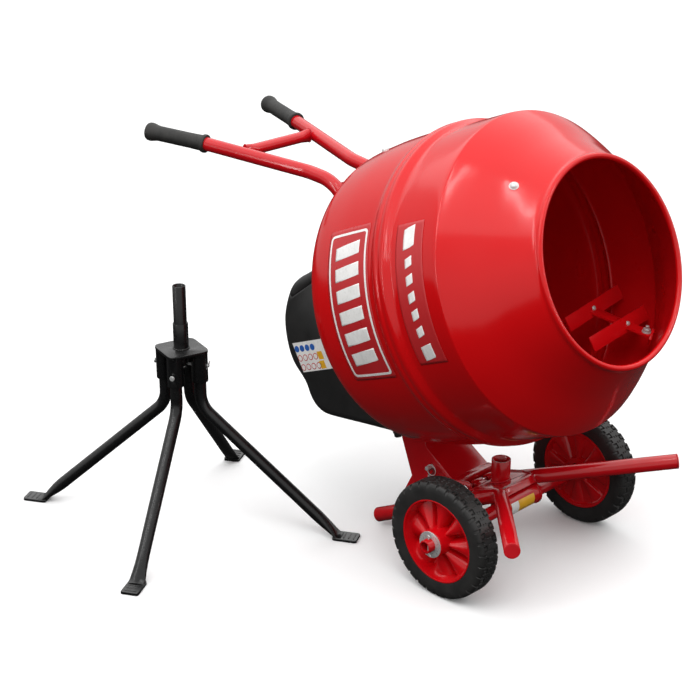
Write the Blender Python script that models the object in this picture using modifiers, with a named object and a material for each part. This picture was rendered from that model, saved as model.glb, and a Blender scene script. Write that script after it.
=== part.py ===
"""Portable drum mixer on a two-wheeled tilting frame, with its separate four-legged stand.

Metres, +Z up, floor at z = 0.  The wheels' axle runs along X, the drum's mouth looks towards -Y.
Every sub-part is one named object with its own material and one closed body.
"""
import math

import bmesh
import bpy
from mathutils import Matrix, Vector

# ---------------------------------------------------------------- driving dimensions
SHIFT = Vector((0.1831, -0.3387, 0.0))      # moves the layout so the origin is the middle of its base

WHEEL_R = 0.125
RIM_R = 0.0895
WHEEL_IN = 0.2045
WHEEL_OUT = 0.2545
AXLE_Z = 0.125
AXLE_R = 0.0140
AXLE_END = 0.287

TILT = math.radians(21.8)                  # drum axis above the horizontal
MOUTH = Vector((0.0, -0.212, 0.708))
DRUM_LEN = 0.547
WALL = 0.0025

TUBE_R = 0.016                             # frame rails
HANDLE_R = 0.0152
GRIP_R = 0.0172

PIVOT = Vector((0.0, 0.091, 0.141))        # tilt axis, along X
PIVOT_R = 0.0048
LOCK = Vector((-0.0575, 0.190, 0.158))

YOKE_LOW = 0.0575                          # half width of the yoke at the pivot
YOKE_TOP = 0.0440
YOKE_FRONT = 0.578                         # drum-frame stations of the yoke's web and rear edge
YOKE_BACK = 0.646

COVER_HALF = 0.150
COVER_WALL = 0.003

PINION_T = 10
LAY_T = 60
LAY_PINION_T = 9
BULL_T = 78
FAST_MODULE = 0.0021
SLOW_MODULE = 0.0023

STAND = Vector((-0.387, 0.615, 0.0))
STAND_YAW = math.radians(119.6)
STAND_REACH = (0.390, 0.348)
STAND_PLATE_Z = 0.407
STAND_TOP = 0.548
SOCKET_OFFSET = 0.040

SIN = math.sin(TILT)
COS = math.cos(TILT)

COLLECTION = "drum_mixer"


# ---------------------------------------------------------------- materials
MATERIALS = {
    "red_paint": ((0.62, 0.01, 0.02, 1.0), 0.0, 0.28),
    "drum_paint": ((0.66, 0.012, 0.02, 1.0), 0.0, 0.25),
    "red_plastic": ((0.60, 0.01, 0.015, 1.0), 0.0, 0.40),
    "black_paint": ((0.015, 0.015, 0.016, 1.0), 0.0, 0.45),
    "black_plastic": ((0.02, 0.02, 0.02, 1.0), 0.0, 0.50),
    "grip_rubber": ((0.025, 0.025, 0.025, 1.0), 0.0, 0.70),
    "tyre_rubber": ((0.03, 0.03, 0.03, 1.0), 0.0, 0.80),
    "zinc": ((0.60, 0.60, 0.58, 1.0), 1.0, 0.35),
    "chrome": ((0.80, 0.80, 0.82, 1.0), 1.0, 0.12),
    "steel": ((0.45, 0.45, 0.46, 1.0), 1.0, 0.40),
    "gear_steel": ((0.38, 0.38, 0.40, 1.0), 1.0, 0.45),
    "aluminium": ((0.62, 0.63, 0.65, 1.0), 1.0, 0.45),
    "green_plastic": ((0.02, 0.35, 0.08, 1.0), 0.0, 0.40),
    "stop_plastic": ((0.65, 0.02, 0.02, 1.0), 0.0, 0.40),
}


def material(name):
    mat = bpy.data.materials.get(name)
    if mat:
        return mat
    colour, metal, rough = MATERIALS[name]
    mat = bpy.data.materials.new(name)
    mat.use_nodes = True
    shader = mat.node_tree.nodes["Principled BSDF"]
    shader.inputs["Base Color"].default_value = colour
    shader.inputs["Metallic"].default_value = metal
    shader.inputs["Roughness"].default_value = rough
    mat.diffuse_color = colour
    return mat


# ---------------------------------------------------------------- scene helpers
def clear_scene():
    for obj in list(bpy.data.objects):
        bpy.data.objects.remove(obj, do_unlink=True)


def collection(name):
    coll = bpy.data.collections.get(name)
    if coll is None:
        coll = bpy.data.collections.new(name)
        bpy.context.scene.collection.children.link(coll)
    return coll


def add_object(name, shape, mat_name, coll=COLLECTION, origin=(0, 0, 0)):
    """Turns a working mesh into a named object whose own origin sits at the given point."""
    origin = Vector(origin)
    bmesh.ops.remove_doubles(shape, verts=shape.verts, dist=1e-6)
    bmesh.ops.translate(shape, vec=-origin, verts=shape.verts)
    if all(edge.is_manifold for edge in shape.edges):
        bmesh.ops.recalc_face_normals(shape, faces=shape.faces)
        if shape.calc_volume(signed=True) < 0:
            bmesh.ops.reverse_faces(shape, faces=shape.faces)
    mesh = bpy.data.meshes.new(name)
    shape.to_mesh(mesh)
    shape.free()
    obj = bpy.data.objects.new(name, mesh)
    obj.location = SHIFT + origin
    obj.data.materials.append(material(mat_name))
    collection(coll).objects.link(obj)
    return obj


def add_cutter(name, shape, origin=(0, 0, 0)):
    cutter = add_object(name, shape, "steel", "cutters", origin)
    cutter.hide_render = True
    cutter.display_type = "WIRE"
    return cutter


def boolean(obj, tool, operation):
    mod = obj.modifiers.new(operation.lower(), "BOOLEAN")
    mod.operation = operation
    mod.solver = "EXACT"
    mod.object = tool
    return obj


def solidify(obj, thickness):
    mod = obj.modifiers.new("wall", "SOLIDIFY")
    mod.thickness = thickness
    mod.offset = -1.0
    return obj


# ---------------------------------------------------------------- frames
def drum_point(x, v, s):
    """World point from drum coordinates: x, height v above the axis, depth s behind the mouth."""
    return MOUTH + Vector((x, v * SIN + s * COS, v * COS - s * SIN))


def basis(axis, hint=Vector((0, 0, 1))):
    axis = Vector(axis).normalized()
    side = hint.cross(axis)
    if side.length < 1e-6:
        side = Vector((0, 1, 0)).cross(axis)
    side.normalize()
    return side, axis.cross(side), axis


# ---------------------------------------------------------------- shape helpers
def revolve(profile, origin, axis, segments, hint=Vector((0, 0, 1))):
    """Profile of (radius, distance) pairs spun about an axis; closed when it stays off the axis."""
    side, _, along = basis(axis, hint)
    origin = Vector(origin)
    shape = bmesh.new()
    points = [shape.verts.new(origin + side * radius + along * dist) for radius, dist in profile]
    edges = [shape.edges.new(pair) for pair in zip(points, points[1:])]
    if profile[0][0] > 1e-7 and profile[-1][0] > 1e-7:
        edges.append(shape.edges.new((points[-1], points[0])))
    bmesh.ops.spin(shape, geom=points + edges, cent=origin, axis=along, dvec=(0, 0, 0),
                   angle=2 * math.pi, steps=segments, use_merge=True, use_duplicate=False)
    bmesh.ops.remove_doubles(shape, verts=shape.verts, dist=1e-6)
    return shape


def cylinder(start, end, radius, segments=16, hint=Vector((0, 0, 1))):
    start = Vector(start)
    end = Vector(end)
    side, up, along = basis(end - start, hint)
    place = Matrix((side, up, along)).transposed().to_4x4()
    place.translation = (start + end) / 2
    shape = bmesh.new()
    bmesh.ops.create_cone(shape, cap_ends=True, segments=segments, radius1=radius, radius2=radius,
                          depth=(end - start).length, matrix=place)
    return shape


def pipe(start, end, outer, inner, segments=16, hint=Vector((0, 0, 1))):
    start = Vector(start)
    length = (Vector(end) - start).length
    profile = [(inner, 0), (outer, 0), (outer, length), (inner, length)]
    return revolve(profile, start, Vector(end) - start, segments, hint)


def box(low, high):
    low = Vector(low)
    high = Vector(high)
    place = Matrix.Translation((low + high) / 2) @ Matrix.Diagonal((*(high - low), 1.0))
    shape = bmesh.new()
    bmesh.ops.create_cube(shape, size=1.0, matrix=place)
    return shape


def rounded_path(points, radius, steps):
    """Polyline with its corners replaced by arcs."""
    pts = [Vector(p) for p in points]
    path = [pts[0]]
    for prev, here, nxt in zip(pts, pts[1:], pts[2:]):
        d0 = (prev - here).normalized()
        d1 = (nxt - here).normalized()
        half = d0.angle(d1) / 2
        cut = radius / math.tan(half)
        centre = here + (d0 + d1).normalized() * (radius / math.sin(half))
        a = here + d0 * cut - centre
        b = here + d1 * cut - centre
        sweep = a.angle(b)
        for i in range(steps + 1):
            t = i / steps
            ca = math.sin((1 - t) * sweep) / math.sin(sweep)
            cb = math.sin(t * sweep) / math.sin(sweep)
            path.append(centre + a * ca + b * cb)
    path.append(pts[-1])
    return path


def tube(path, radius, sides, capped=False):
    """Round tube along a path: a bevelled curve converted to a mesh."""
    curve = bpy.data.curves.new("tube", "CURVE")
    curve.dimensions = "3D"
    curve.bevel_depth = radius
    curve.bevel_resolution = sides // 2 - 2
    curve.use_fill_caps = capped
    spline = curve.splines.new("POLY")
    spline.points.add(len(path) - 1)
    for point, place in zip(spline.points, path):
        point.co = (*place, 1.0)
    holder = bpy.data.objects.new("tube", curve)
    mesh = bpy.data.meshes.new_from_object(holder)
    shape = bmesh.new()
    shape.from_mesh(mesh)
    bmesh.ops.remove_doubles(shape, verts=shape.verts, dist=1e-6)
    bpy.data.objects.remove(holder)
    bpy.data.curves.remove(curve)
    bpy.data.meshes.remove(mesh)
    return shape


def prism(outline, low, high, place):
    """Flat outline of 2-D points extruded from low to high; place(u, v, w) gives world points."""
    shape = bmesh.new()
    face = shape.faces.new([shape.verts.new(place(u, v, low)) for u, v in outline])
    u, v = outline[0]
    rise = place(u, v, high) - place(u, v, low)
    grown = bmesh.ops.extrude_face_region(shape, geom=[face])["geom"]
    bmesh.ops.translate(shape, vec=rise, verts=[g for g in grown if isinstance(g, bmesh.types.BMVert)])
    return shape


def side_plate(outline, x0, x1):
    """Plate lying in the YZ plane."""
    return prism(outline, x0, x1, lambda u, v, w: Vector((w, u, v)))


def drum_plate(outline, x0, x1):
    """Plate lying in the (s, v) plane of the drum frame."""
    return prism(outline, x0, x1, lambda u, v, w: drum_point(w, v, u))


def loft(rings):
    """Solid through a row of rings, capped at both ends."""
    shape = bmesh.new()
    rows = [[shape.verts.new(point) for point in ring] for ring in rings]
    for row, after in zip(rows, rows[1:]):
        for i in range(len(row)):
            j = (i + 1) % len(row)
            shape.faces.new((row[i], row[j], after[j], after[i]))
    shape.faces.new(rows[0])
    shape.faces.new(rows[-1])
    return shape


def arc(centre, radius, start, stop, steps):
    out = []
    for i in range(steps + 1):
        ang = math.radians(start + (stop - start) * i / steps)
        out.append((centre[0] + radius * math.cos(ang), centre[1] + radius * math.sin(ang)))
    return out


def mirrored(shape):
    bmesh.ops.scale(shape, vec=(-1, 1, 1), verts=shape.verts)
    bmesh.ops.reverse_faces(shape, faces=shape.faces)
    return shape


# ---------------------------------------------------------------- gears
def gear_outline(teeth, module, phase, thin=0.40, root_ratio=1.0):
    """Straight-flanked teeth with working backlash, as (radius, angle) pairs."""
    pitch_r = teeth * module / 2
    tip_r = pitch_r + 0.75 * module
    root_r = pitch_r - 1.05 * module
    pitch = 2 * math.pi / teeth
    half = thin * pitch / 2
    tip_half = half - math.tan(math.radians(20)) * 0.75 * module / tip_r
    root_half = half * root_ratio
    if root_ratio > 0.99:
        root_half += math.tan(math.radians(20)) * 0.9 * module / root_r
    out = []
    for i in range(teeth):
        mid = phase + i * pitch
        out.append((root_r, mid - root_half))
        out.append((tip_r, mid - tip_half))
        out.append((tip_r, mid + tip_half))
        out.append((root_r, mid + root_half))
    return out


def gear_prism(outline, centre, s0, s1):
    """Toothed disc between stations s0 and s1 of the drum frame."""
    flat = [(centre[0] + r * math.cos(a), centre[1] + r * math.sin(a)) for r, a in outline]
    return prism(flat, s0, s1, lambda u, v, w: drum_point(u, v, w))


def drum_turning(profile, centre, segments):
    """Turned part on an axis parallel to the drum's, from (radius, station) pairs."""
    return revolve(profile, drum_point(*centre, 0), drum_point(0, 0, 1) - MOUTH, segments, Vector((1, 0, 0)))


# ---------------------------------------------------------------- drum
FRONT_PROFILE = [
    (0.2105, 0.0145), (0.2270, 0.0400), (0.2410, 0.0600), (0.2560, 0.0800), (0.2730, 0.1000),
    (0.2910, 0.1200), (0.3080, 0.1400), (0.3200, 0.1555), (0.3222, 0.1600), (0.3225, 0.1750),
    (0.3225, 0.2700), (0.3260, 0.2800), (0.3320, 0.2890), (0.3330, 0.2970), (0.3318, 0.30385),
]
REAR_PROFILE = [
    (0.3318, 0.30415), (0.3330, 0.3110), (0.3310, 0.3190), (0.3265, 0.3290), (0.3255, 0.3600),
    (0.3235, 0.4200), (0.3195, 0.4650), (0.3150, 0.5000), (0.3095, 0.5200), (0.3010, 0.5340),
    (0.2880, 0.5430), (0.2720, 0.5470), (0.1500, 0.5400),
]
LIP_CENTRE = (0.2030, 0.0075)
LIP_R = 0.0062
SHAFT_R = 0.0150


def wall_inside(profile):
    """The same profile moved inwards by the sheet's thickness."""
    pts = [Vector(p) for p in profile]
    out = []
    for k, point in enumerate(pts):
        ahead = (pts[min(k + 1, len(pts) - 1)] - pts[max(k - 1, 0)]).normalized()
        out.append((point.x - ahead.y * WALL, point.y + ahead.x * WALL))
    return out


def build_drum():
    lip = arc(LIP_CENTRE, LIP_R, 150, 390, 6)
    inner = wall_inside(FRONT_PROFILE)
    seam = FRONT_PROFILE[-1]
    inside = [(seam[0] - WALL, seam[1])] + inner[-3:0:-2] + [(0.2080, 0.0155)]
    shape = drum_turning(lip + FRONT_PROFILE + inside, (0, 0), 40)
    add_object("drum_front", shape, "drum_paint", origin=MOUTH)

    bore = SHAFT_R + 0.004
    inner = wall_inside(REAR_PROFILE)
    seam = REAR_PROFILE[0]
    inside = [(bore, 0.5375), (0.1500, 0.5375)] + inner[-2:1:-2] + [(seam[0] - WALL, seam[1])]
    shape = drum_turning(REAR_PROFILE + [(bore, 0.5400)] + inside, (0, 0), 40)
    add_object("drum_rear", shape, "drum_paint", origin=MOUTH)

    # hub flange and shaft in one turning, bolted behind the drum's base
    profile = [(0, 0.520), (0.012, 0.520), (SHAFT_R, 0.523), (SHAFT_R, 0.5405), (0.060, 0.5406),
               (0.060, 0.5480), (0.024, 0.5485), (SHAFT_R, 0.560), (SHAFT_R, 0.6543), (0, 0.6543)]
    add_object("drum_shaft", drum_turning(profile, (0, 0), 24), "steel", origin=MOUTH)

    # output gear, fixed on the shaft's rear end
    outline = gear_outline(BULL_T, SLOW_MODULE, math.pi / 2 + math.pi / BULL_T)
    gear = add_object("output_gear", gear_prism(outline, (0, 0), 0.6546, 0.6660), "gear_steel", origin=MOUTH)
    shape = cylinder(drum_point(0, 0, 0.64), drum_point(0, 0, 0.68), 0.0130, 16)
    boolean(gear, add_cutter("output_gear_bore", shape), "DIFFERENCE")

    for side, turn in (("a", 0.0), ("b", math.pi)):
        build_paddle(side, turn)


def turned(x, v, turn):
    return x * math.cos(turn) - v * math.sin(turn), x * math.sin(turn) + v * math.cos(turn)


def bar(start, end, half_w, half_t, wide, turn):
    """Flat bar between two drum-frame points, its width along the drum-frame direction wide."""
    a = Vector(start)
    b = Vector(end)
    along = (b - a).normalized()
    wide = Vector(wide)
    wide = (wide - along * wide.dot(along)).normalized()
    thin = along.cross(wide)
    place = Matrix((wide * (2 * half_w), thin * (2 * half_t), b - a)).transposed().to_4x4()
    place.translation = (a + b) / 2
    shape = bmesh.new()
    bmesh.ops.create_cube(shape, size=1.0, matrix=place)
    for vert in shape.verts:
        x, v = turned(vert.co.x, vert.co.y, turn)
        vert.co = drum_point(x, v, vert.co.z)
    return shape


def build_paddle(side, turn):
    """Mixing paddle: a bent flat arm with a foot on the cone and two cross blades in front of it."""
    foot = (0.1990, -0.1880, 0.1180)
    bend = (0.1860, -0.1120, 0.2500)
    tail = (0.0850, -0.1900, 0.5345)
    across = (1.0, 0.0, 0.0)
    arm = add_object("paddle_" + side, bar(foot, bend, 0.0135, 0.0025, across, turn), "red_paint", origin=MOUTH)
    rest = (
        bar((bend[0], bend[1] - 0.0012, bend[2] - 0.0030), tail, 0.0135, 0.0025, across, turn),
        bar((0.2615, -0.1490, 0.1680), (0.0700, -0.1670, 0.1680), 0.0155, 0.0025, (0.0, -1.0, -0.15), turn),
        bar((0.2855, -0.1015, 0.2400), (0.0970, -0.1245, 0.2400), 0.0155, 0.0025, (0.0, -1.0, -0.15), turn),
        bar((0.1965, -0.1855, 0.1150), (0.2060, -0.1960, 0.1300), 0.0130, 0.0024, (1.0, 0.9, 0.0), turn),
        bar((0.0850, -0.1890, 0.5335), (0.0850, -0.1500, 0.5335), 0.0135, 0.0024, across, turn),
    )
    for k, shape in enumerate(rest):
        boolean(arm, add_cutter("paddle_%s_bar_%d" % (side, k), shape), "UNION")


def drum_bolt(name, angle, s, radius, slope):
    """Round-headed bolt lying on the drum's outside at an angle about its axis."""
    ang = math.radians(angle)
    base = drum_point(radius * math.cos(ang), radius * math.sin(ang), s)
    out = drum_point(math.cos(ang), math.sin(ang), 0) - MOUTH
    axis = out * math.cos(slope) - (drum_point(0, 0, 1) - MOUTH) * math.sin(slope)
    profile = [(0, 0.0004), (0.0090, 0.0004), (0.0088, 0.0025), (0.0070, 0.0050), (0.0038, 0.0064), (0, 0.0068)]
    add_object(name, revolve(profile, base, axis, 12), "zinc", origin=MOUTH)


# ---------------------------------------------------------------- yoke and drive
def yoke_outline():
    """Side outline of the yoke in the YZ plane: lower toe at the pivot, tall leg behind the drum."""
    front_top = drum_point(0, 0.275, YOKE_FRONT)
    back_top = drum_point(0, 0.275, YOKE_BACK)
    back_low = drum_point(0, -0.378, YOKE_BACK)
    corner = drum_point(0, -0.320, YOKE_FRONT)
    toe = arc((PIVOT.y, PIVOT.z), 0.0155, 100, 260, 6)
    return [
        (front_top.y, front_top.z),
        (corner.y, corner.z),
        (0.131, 0.1490),
        *toe,
        (0.150, 0.085),
        (0.236, 0.098),
        (back_low.y, back_low.z),
        (back_top.y, back_top.z),
    ]


def yoke_half_width(y, z):
    """The channel narrows evenly from the pivot up to the handles."""
    height = (y - MOUTH.y) * SIN + (z - MOUTH.z) * COS
    return YOKE_LOW + (YOKE_TOP - YOKE_LOW) * (height + 0.400) / 0.675


def yoke_solid(outline, inset):
    """Side outline extruded across and narrowed to the yoke's taper."""
    shape = side_plate(outline, -1.0, 1.0)
    for vert in shape.verts:
        vert.co.x = math.copysign(yoke_half_width(vert.co.y, vert.co.z) - inset, vert.co.x)
    return shape


def build_yoke():
    yoke = add_object("yoke", yoke_solid(yoke_outline(), 0.0), "red_paint", origin=PIVOT)
    # the hollow between the two flanges, behind the web
    t = 0.004
    top = drum_point(0, 0.30, YOKE_FRONT + t)
    corner = drum_point(0, -0.320, YOKE_FRONT + t)
    behind = drum_point(0, 0.30, YOKE_BACK + 0.05)
    low = drum_point(0, -0.44, YOKE_BACK + 0.05)
    hollow = [
        (top.y, top.z),
        (corner.y, corner.z - 0.0012),
        (0.134, 0.1440),
        (0.108, 0.1290),
        (0.1075, 0.165),
        (0.060, 0.175),
        (0.050, 0.060),
        (0.200, 0.040),
        (low.y, low.z),
        (behind.y, behind.z),
    ]
    boolean(yoke, add_cutter("yoke_hollow", yoke_solid(hollow, t)), "DIFFERENCE")
    shape = cylinder(drum_point(0, 0, 0.55), drum_point(0, 0, 0.62), SHAFT_R + 0.0012, 20)
    boolean(yoke, add_cutter("yoke_shaft_hole", shape), "DIFFERENCE")
    shape = cylinder((-0.1, PIVOT.y, PIVOT.z), (0.1, PIVOT.y, PIVOT.z), PIVOT_R + 0.0004, 16)
    boolean(yoke, add_cutter("yoke_pivot_hole", shape), "DIFFERENCE")
    shape = cylinder((-0.1, LOCK.y, LOCK.z), (-0.02, LOCK.y, LOCK.z), 0.0054, 12)
    boolean(yoke, add_cutter("yoke_lock_hole", shape), "DIFFERENCE")

    profile = [(0, 0), (0.0085, 0), (0.0085, 0.003), (PIVOT_R, 0.0032), (PIVOT_R, 0.1240), (0, 0.1240)]
    shape = revolve(profile, (-0.0622, PIVOT.y, PIVOT.z), (1, 0, 0), 14)
    add_object("pivot_rod", shape, "chrome", origin=PIVOT)


def build_handles():
    low = drum_point(0.0652, 0.0300, 0.612)
    corner = drum_point(0.0615, 0.2698, 0.612)
    bend = Vector((0.0665, 0.5520, 0.7415))
    grip_in = Vector((0.1385, 0.8060, 0.7688))
    grip_end = Vector((0.1800, 0.9430, 0.7785))
    path = rounded_path([low, corner, bend, grip_in], 0.100, 5) + [grip_end]
    for name, flip in (("handle_right", False), ("handle_left", True)):
        shape = tube(path, HANDLE_R, 12)
        handle = add_object(name, mirrored(shape) if flip else shape, "red_paint", origin=PIVOT)
        solidify(handle, 0.002)

    # closed-end rubber grips pushed over the tubes
    axis = (grip_end - grip_in).normalized()
    length = (grip_end - grip_in).length
    inner = HANDLE_R + 0.0007
    profile = [
        (inner, -0.002), (0.0205, -0.002), (0.0208, 0.004), (0.0185, 0.009), (0.0178, 0.011),
        (GRIP_R, 0.030), (GRIP_R, length - 0.016), (0.0200, length - 0.006), (0.0208, length + 0.001),
        (0.0195, length + 0.0075), (0.0140, length + 0.0105), (0, length + 0.0115),
    ]
    hollow = [(0, length + 0.0005), (inner, length + 0.0005), (inner, -0.010), (0, -0.010)]
    for name, flip in (("grip_right", False), ("grip_left", True)):
        shape = revolve([(0, -0.002)] + profile, grip_in, axis, 16)
        grip = add_object(name, mirrored(shape) if flip else shape, "grip_rubber", origin=PIVOT)
        shape = revolve(hollow, grip_in, axis, 16)
        cutter = add_cutter(name + "_inside", mirrored(shape) if flip else shape)
        boolean(grip, cutter, "DIFFERENCE")

    # cross brace between the two handle tubes
    mid = bend.lerp(grip_in, 0.665)
    reach = mid.x - HANDLE_R / math.cos(math.radians(15.8)) - 0.0042
    shape = pipe((-reach, mid.y, mid.z), (reach, mid.y, mid.z), 0.0125, 0.0108, 14)
    add_object("handle_brace", shape, "red_paint", origin=PIVOT)


def shrink(outline, inset):
    """Moves a polygon's sides inwards by a distance."""
    n = len(outline)
    area = 0.0
    for i in range(n):
        here = outline[i]
        after = outline[(i + 1) % n]
        area += here[0] * after[1] - after[0] * here[1]
    sign = 1 if area > 0 else -1
    out = []
    for i in range(n):
        p = Vector(outline[i])
        e0 = (p - Vector(outline[i - 1])).normalized()
        e1 = (Vector(outline[(i + 1) % n]) - p).normalized()
        n0 = Vector((-e0.y, e0.x)) * sign
        n1 = Vector((-e1.y, e1.x)) * sign
        m = (n0 + n1).normalized()
        out.append(tuple(p + m * (inset / max(0.3, m.dot(n0)))))
    return out


COVER_OUTLINE = [
    (0.5600, -0.262), (0.6550, -0.2365), (0.7230, -0.2190), (0.7650, -0.2070), (0.7850, -0.1950),
    (0.7980, -0.1780), (0.8050, -0.1560), (0.8090, -0.1250), (0.8300, -0.0780), (0.8320, -0.0300),
    (0.8200, 0.0200), (0.7980, 0.0560), (0.7700, 0.0850), (0.7400, 0.1000), (0.6950, 0.1100), (0.5600, 0.1420),
]
SEAM = (0.845, 0.0605, 0.552, 0.1235)      # s, v at the rear and at the front of the cover's joint


def cover_solid(outline, half, edge):
    rings = []
    for x, inset in ((-half, edge), (-half + 0.35 * edge, 0.35 * edge), (-half + edge, 0.0),
                     (half - edge, 0.0), (half - 0.35 * edge, 0.35 * edge), (half, edge)):
        rings.append([drum_point(x, v, s) for s, v in shrink(outline, inset)])
    return loft(rings)


def build_cover():
    wall = COVER_WALL
    front = 0.5600
    for name, keep_low in (("cover_lower", True), ("cover_upper", False)):
        shape = cover_solid(COVER_OUTLINE, COVER_HALF, 0.020)
        cover = add_object(name, shape, "black_plastic", origin=PIVOT)
        inner = shrink(COVER_OUTLINE, wall)
        inner = [(0.53 if s < 0.58 else s, v) for s, v in inner]
        shape = cover_solid(inner, COVER_HALF - wall, 0.018)
        boolean(cover, add_cutter(name + "_inside", shape), "DIFFERENCE")
        s0, v0, s1, v1 = SEAM
        gap = 0.0003
        if keep_low:
            cut = [(s0, v0 - gap), (s1, v1 - gap), (s1, v1 + 0.3), (s0, v0 + 0.3)]
        else:
            cut = [(s0, v0 + gap), (s1, v1 + gap), (s1, v1 - 0.5), (s0, v0 - 0.5)]
        shape = drum_plate(cut, -0.2, 0.2)
        boolean(cover, add_cutter(name + "_split", shape), "DIFFERENCE")
        # open front, and room for the yoke below and the handles above
        shape = drum_plate([(front - 0.02, -0.35), (front + 0.008, -0.35),
                                   (front + 0.008, 0.25), (front - 0.02, 0.25)], -0.2, 0.2)
        boolean(cover, add_cutter(name + "_front", shape), "DIFFERENCE")
        if keep_low:
            shape = drum_plate([(0.54, -0.30), (0.652, -0.30), (0.652, -0.15), (0.54, -0.15)], -0.062, 0.062)
        else:
            shape = drum_plate([(0.54, 0.05), (0.652, 0.05), (0.652, 0.20), (0.54, 0.20)], -0.0825, 0.0825)
        boolean(cover, add_cutter(name + "_notch", shape), "DIFFERENCE")
        if keep_low:
            shape = drum_plate([(0.690, -0.040), (0.745, -0.040), (0.745, 0.030), (0.690, 0.030)],
                                      0.14, 0.16)
            boolean(cover, add_cutter("cover_switch_hole", shape), "DIFFERENCE")

    # switch box in the cover's right-hand side
    shape = drum_plate([(0.6903, -0.0397), (0.7447, -0.0397), (0.7447, 0.0297), (0.6903, 0.0297)],
                              0.128, 0.1545)
    plate = add_object("switch_box", shape, "black_plastic", origin=PIVOT)
    for label, v in (("start", 0.012), ("stop", -0.022)):
        shape = cylinder(drum_point(0.140, v, 0.7175), drum_point(0.170, v, 0.7175), 0.0105, 16)
        boolean(plate, add_cutter("switch_well_" + label, shape), "DIFFERENCE")
        shape = cylinder(drum_point(0.1425, v, 0.7175), drum_point(0.1575, v, 0.7175), 0.0100, 16)
        mat_name = "green_plastic" if label == "start" else "stop_plastic"
        add_object(label + "_button", shape, mat_name, origin=drum_point(0.150, v, 0.7175))

    # cable gland under the cover's front edge
    axis = drum_point(0, -1, 0.12) - drum_point(0, 0, 0)
    start = drum_point(-0.1175, -0.2575, 0.5855)
    profile = [(0.0045, 0), (0.0105, 0), (0.0105, 0.007), (0.0088, 0.0085), (0.0088, 0.0150), (0.0062, 0.0175),
               (0.0045, 0.0175)]
    shape = revolve(profile, start, axis, 14)
    add_object("cable_gland", shape, "black_plastic", origin=PIVOT)


LAY_CENTRE = (0.0, -(BULL_T + LAY_PINION_T) * SLOW_MODULE / 2)
MOTOR_ANGLE = math.radians(-40)
MOTOR_DIST = (LAY_T + PINION_T) * FAST_MODULE / 2
MOTOR_CENTRE = (
    LAY_CENTRE[0] + MOTOR_DIST * math.cos(MOTOR_ANGLE),
    LAY_CENTRE[1] + MOTOR_DIST * math.sin(MOTOR_ANGLE),
)


def case_outline(grow):
    """Pear-shaped outline round the output gear and the countershaft's gear."""
    r0 = BULL_T * SLOW_MODULE / 2 + 0.0042 + grow
    r1 = LAY_T * FAST_MODULE / 2 + 0.0042 + grow
    r2 = 0.024 + grow
    pts = []
    for (cx, cv), r in (((0, 0), r0), (LAY_CENTRE, r1), (MOTOR_CENTRE, r2)):
        for i in range(28):
            a = 2 * math.pi * i / 28
            pts.append((cx + r * math.cos(a), cv + r * math.sin(a)))
    pts = sorted(set(pts))

    def half(points):
        out = []
        for p in points:
            while len(out) > 1:
                (ax, ay), (bx, by) = out[-2], out[-1]
                if (bx - ax) * (p[1] - ay) - (by - ay) * (p[0] - ax) > 0:
                    break
                out.pop()
            out.append(p)
        return out

    return half(pts)[:-1] + half(pts[::-1])[:-1]


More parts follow.
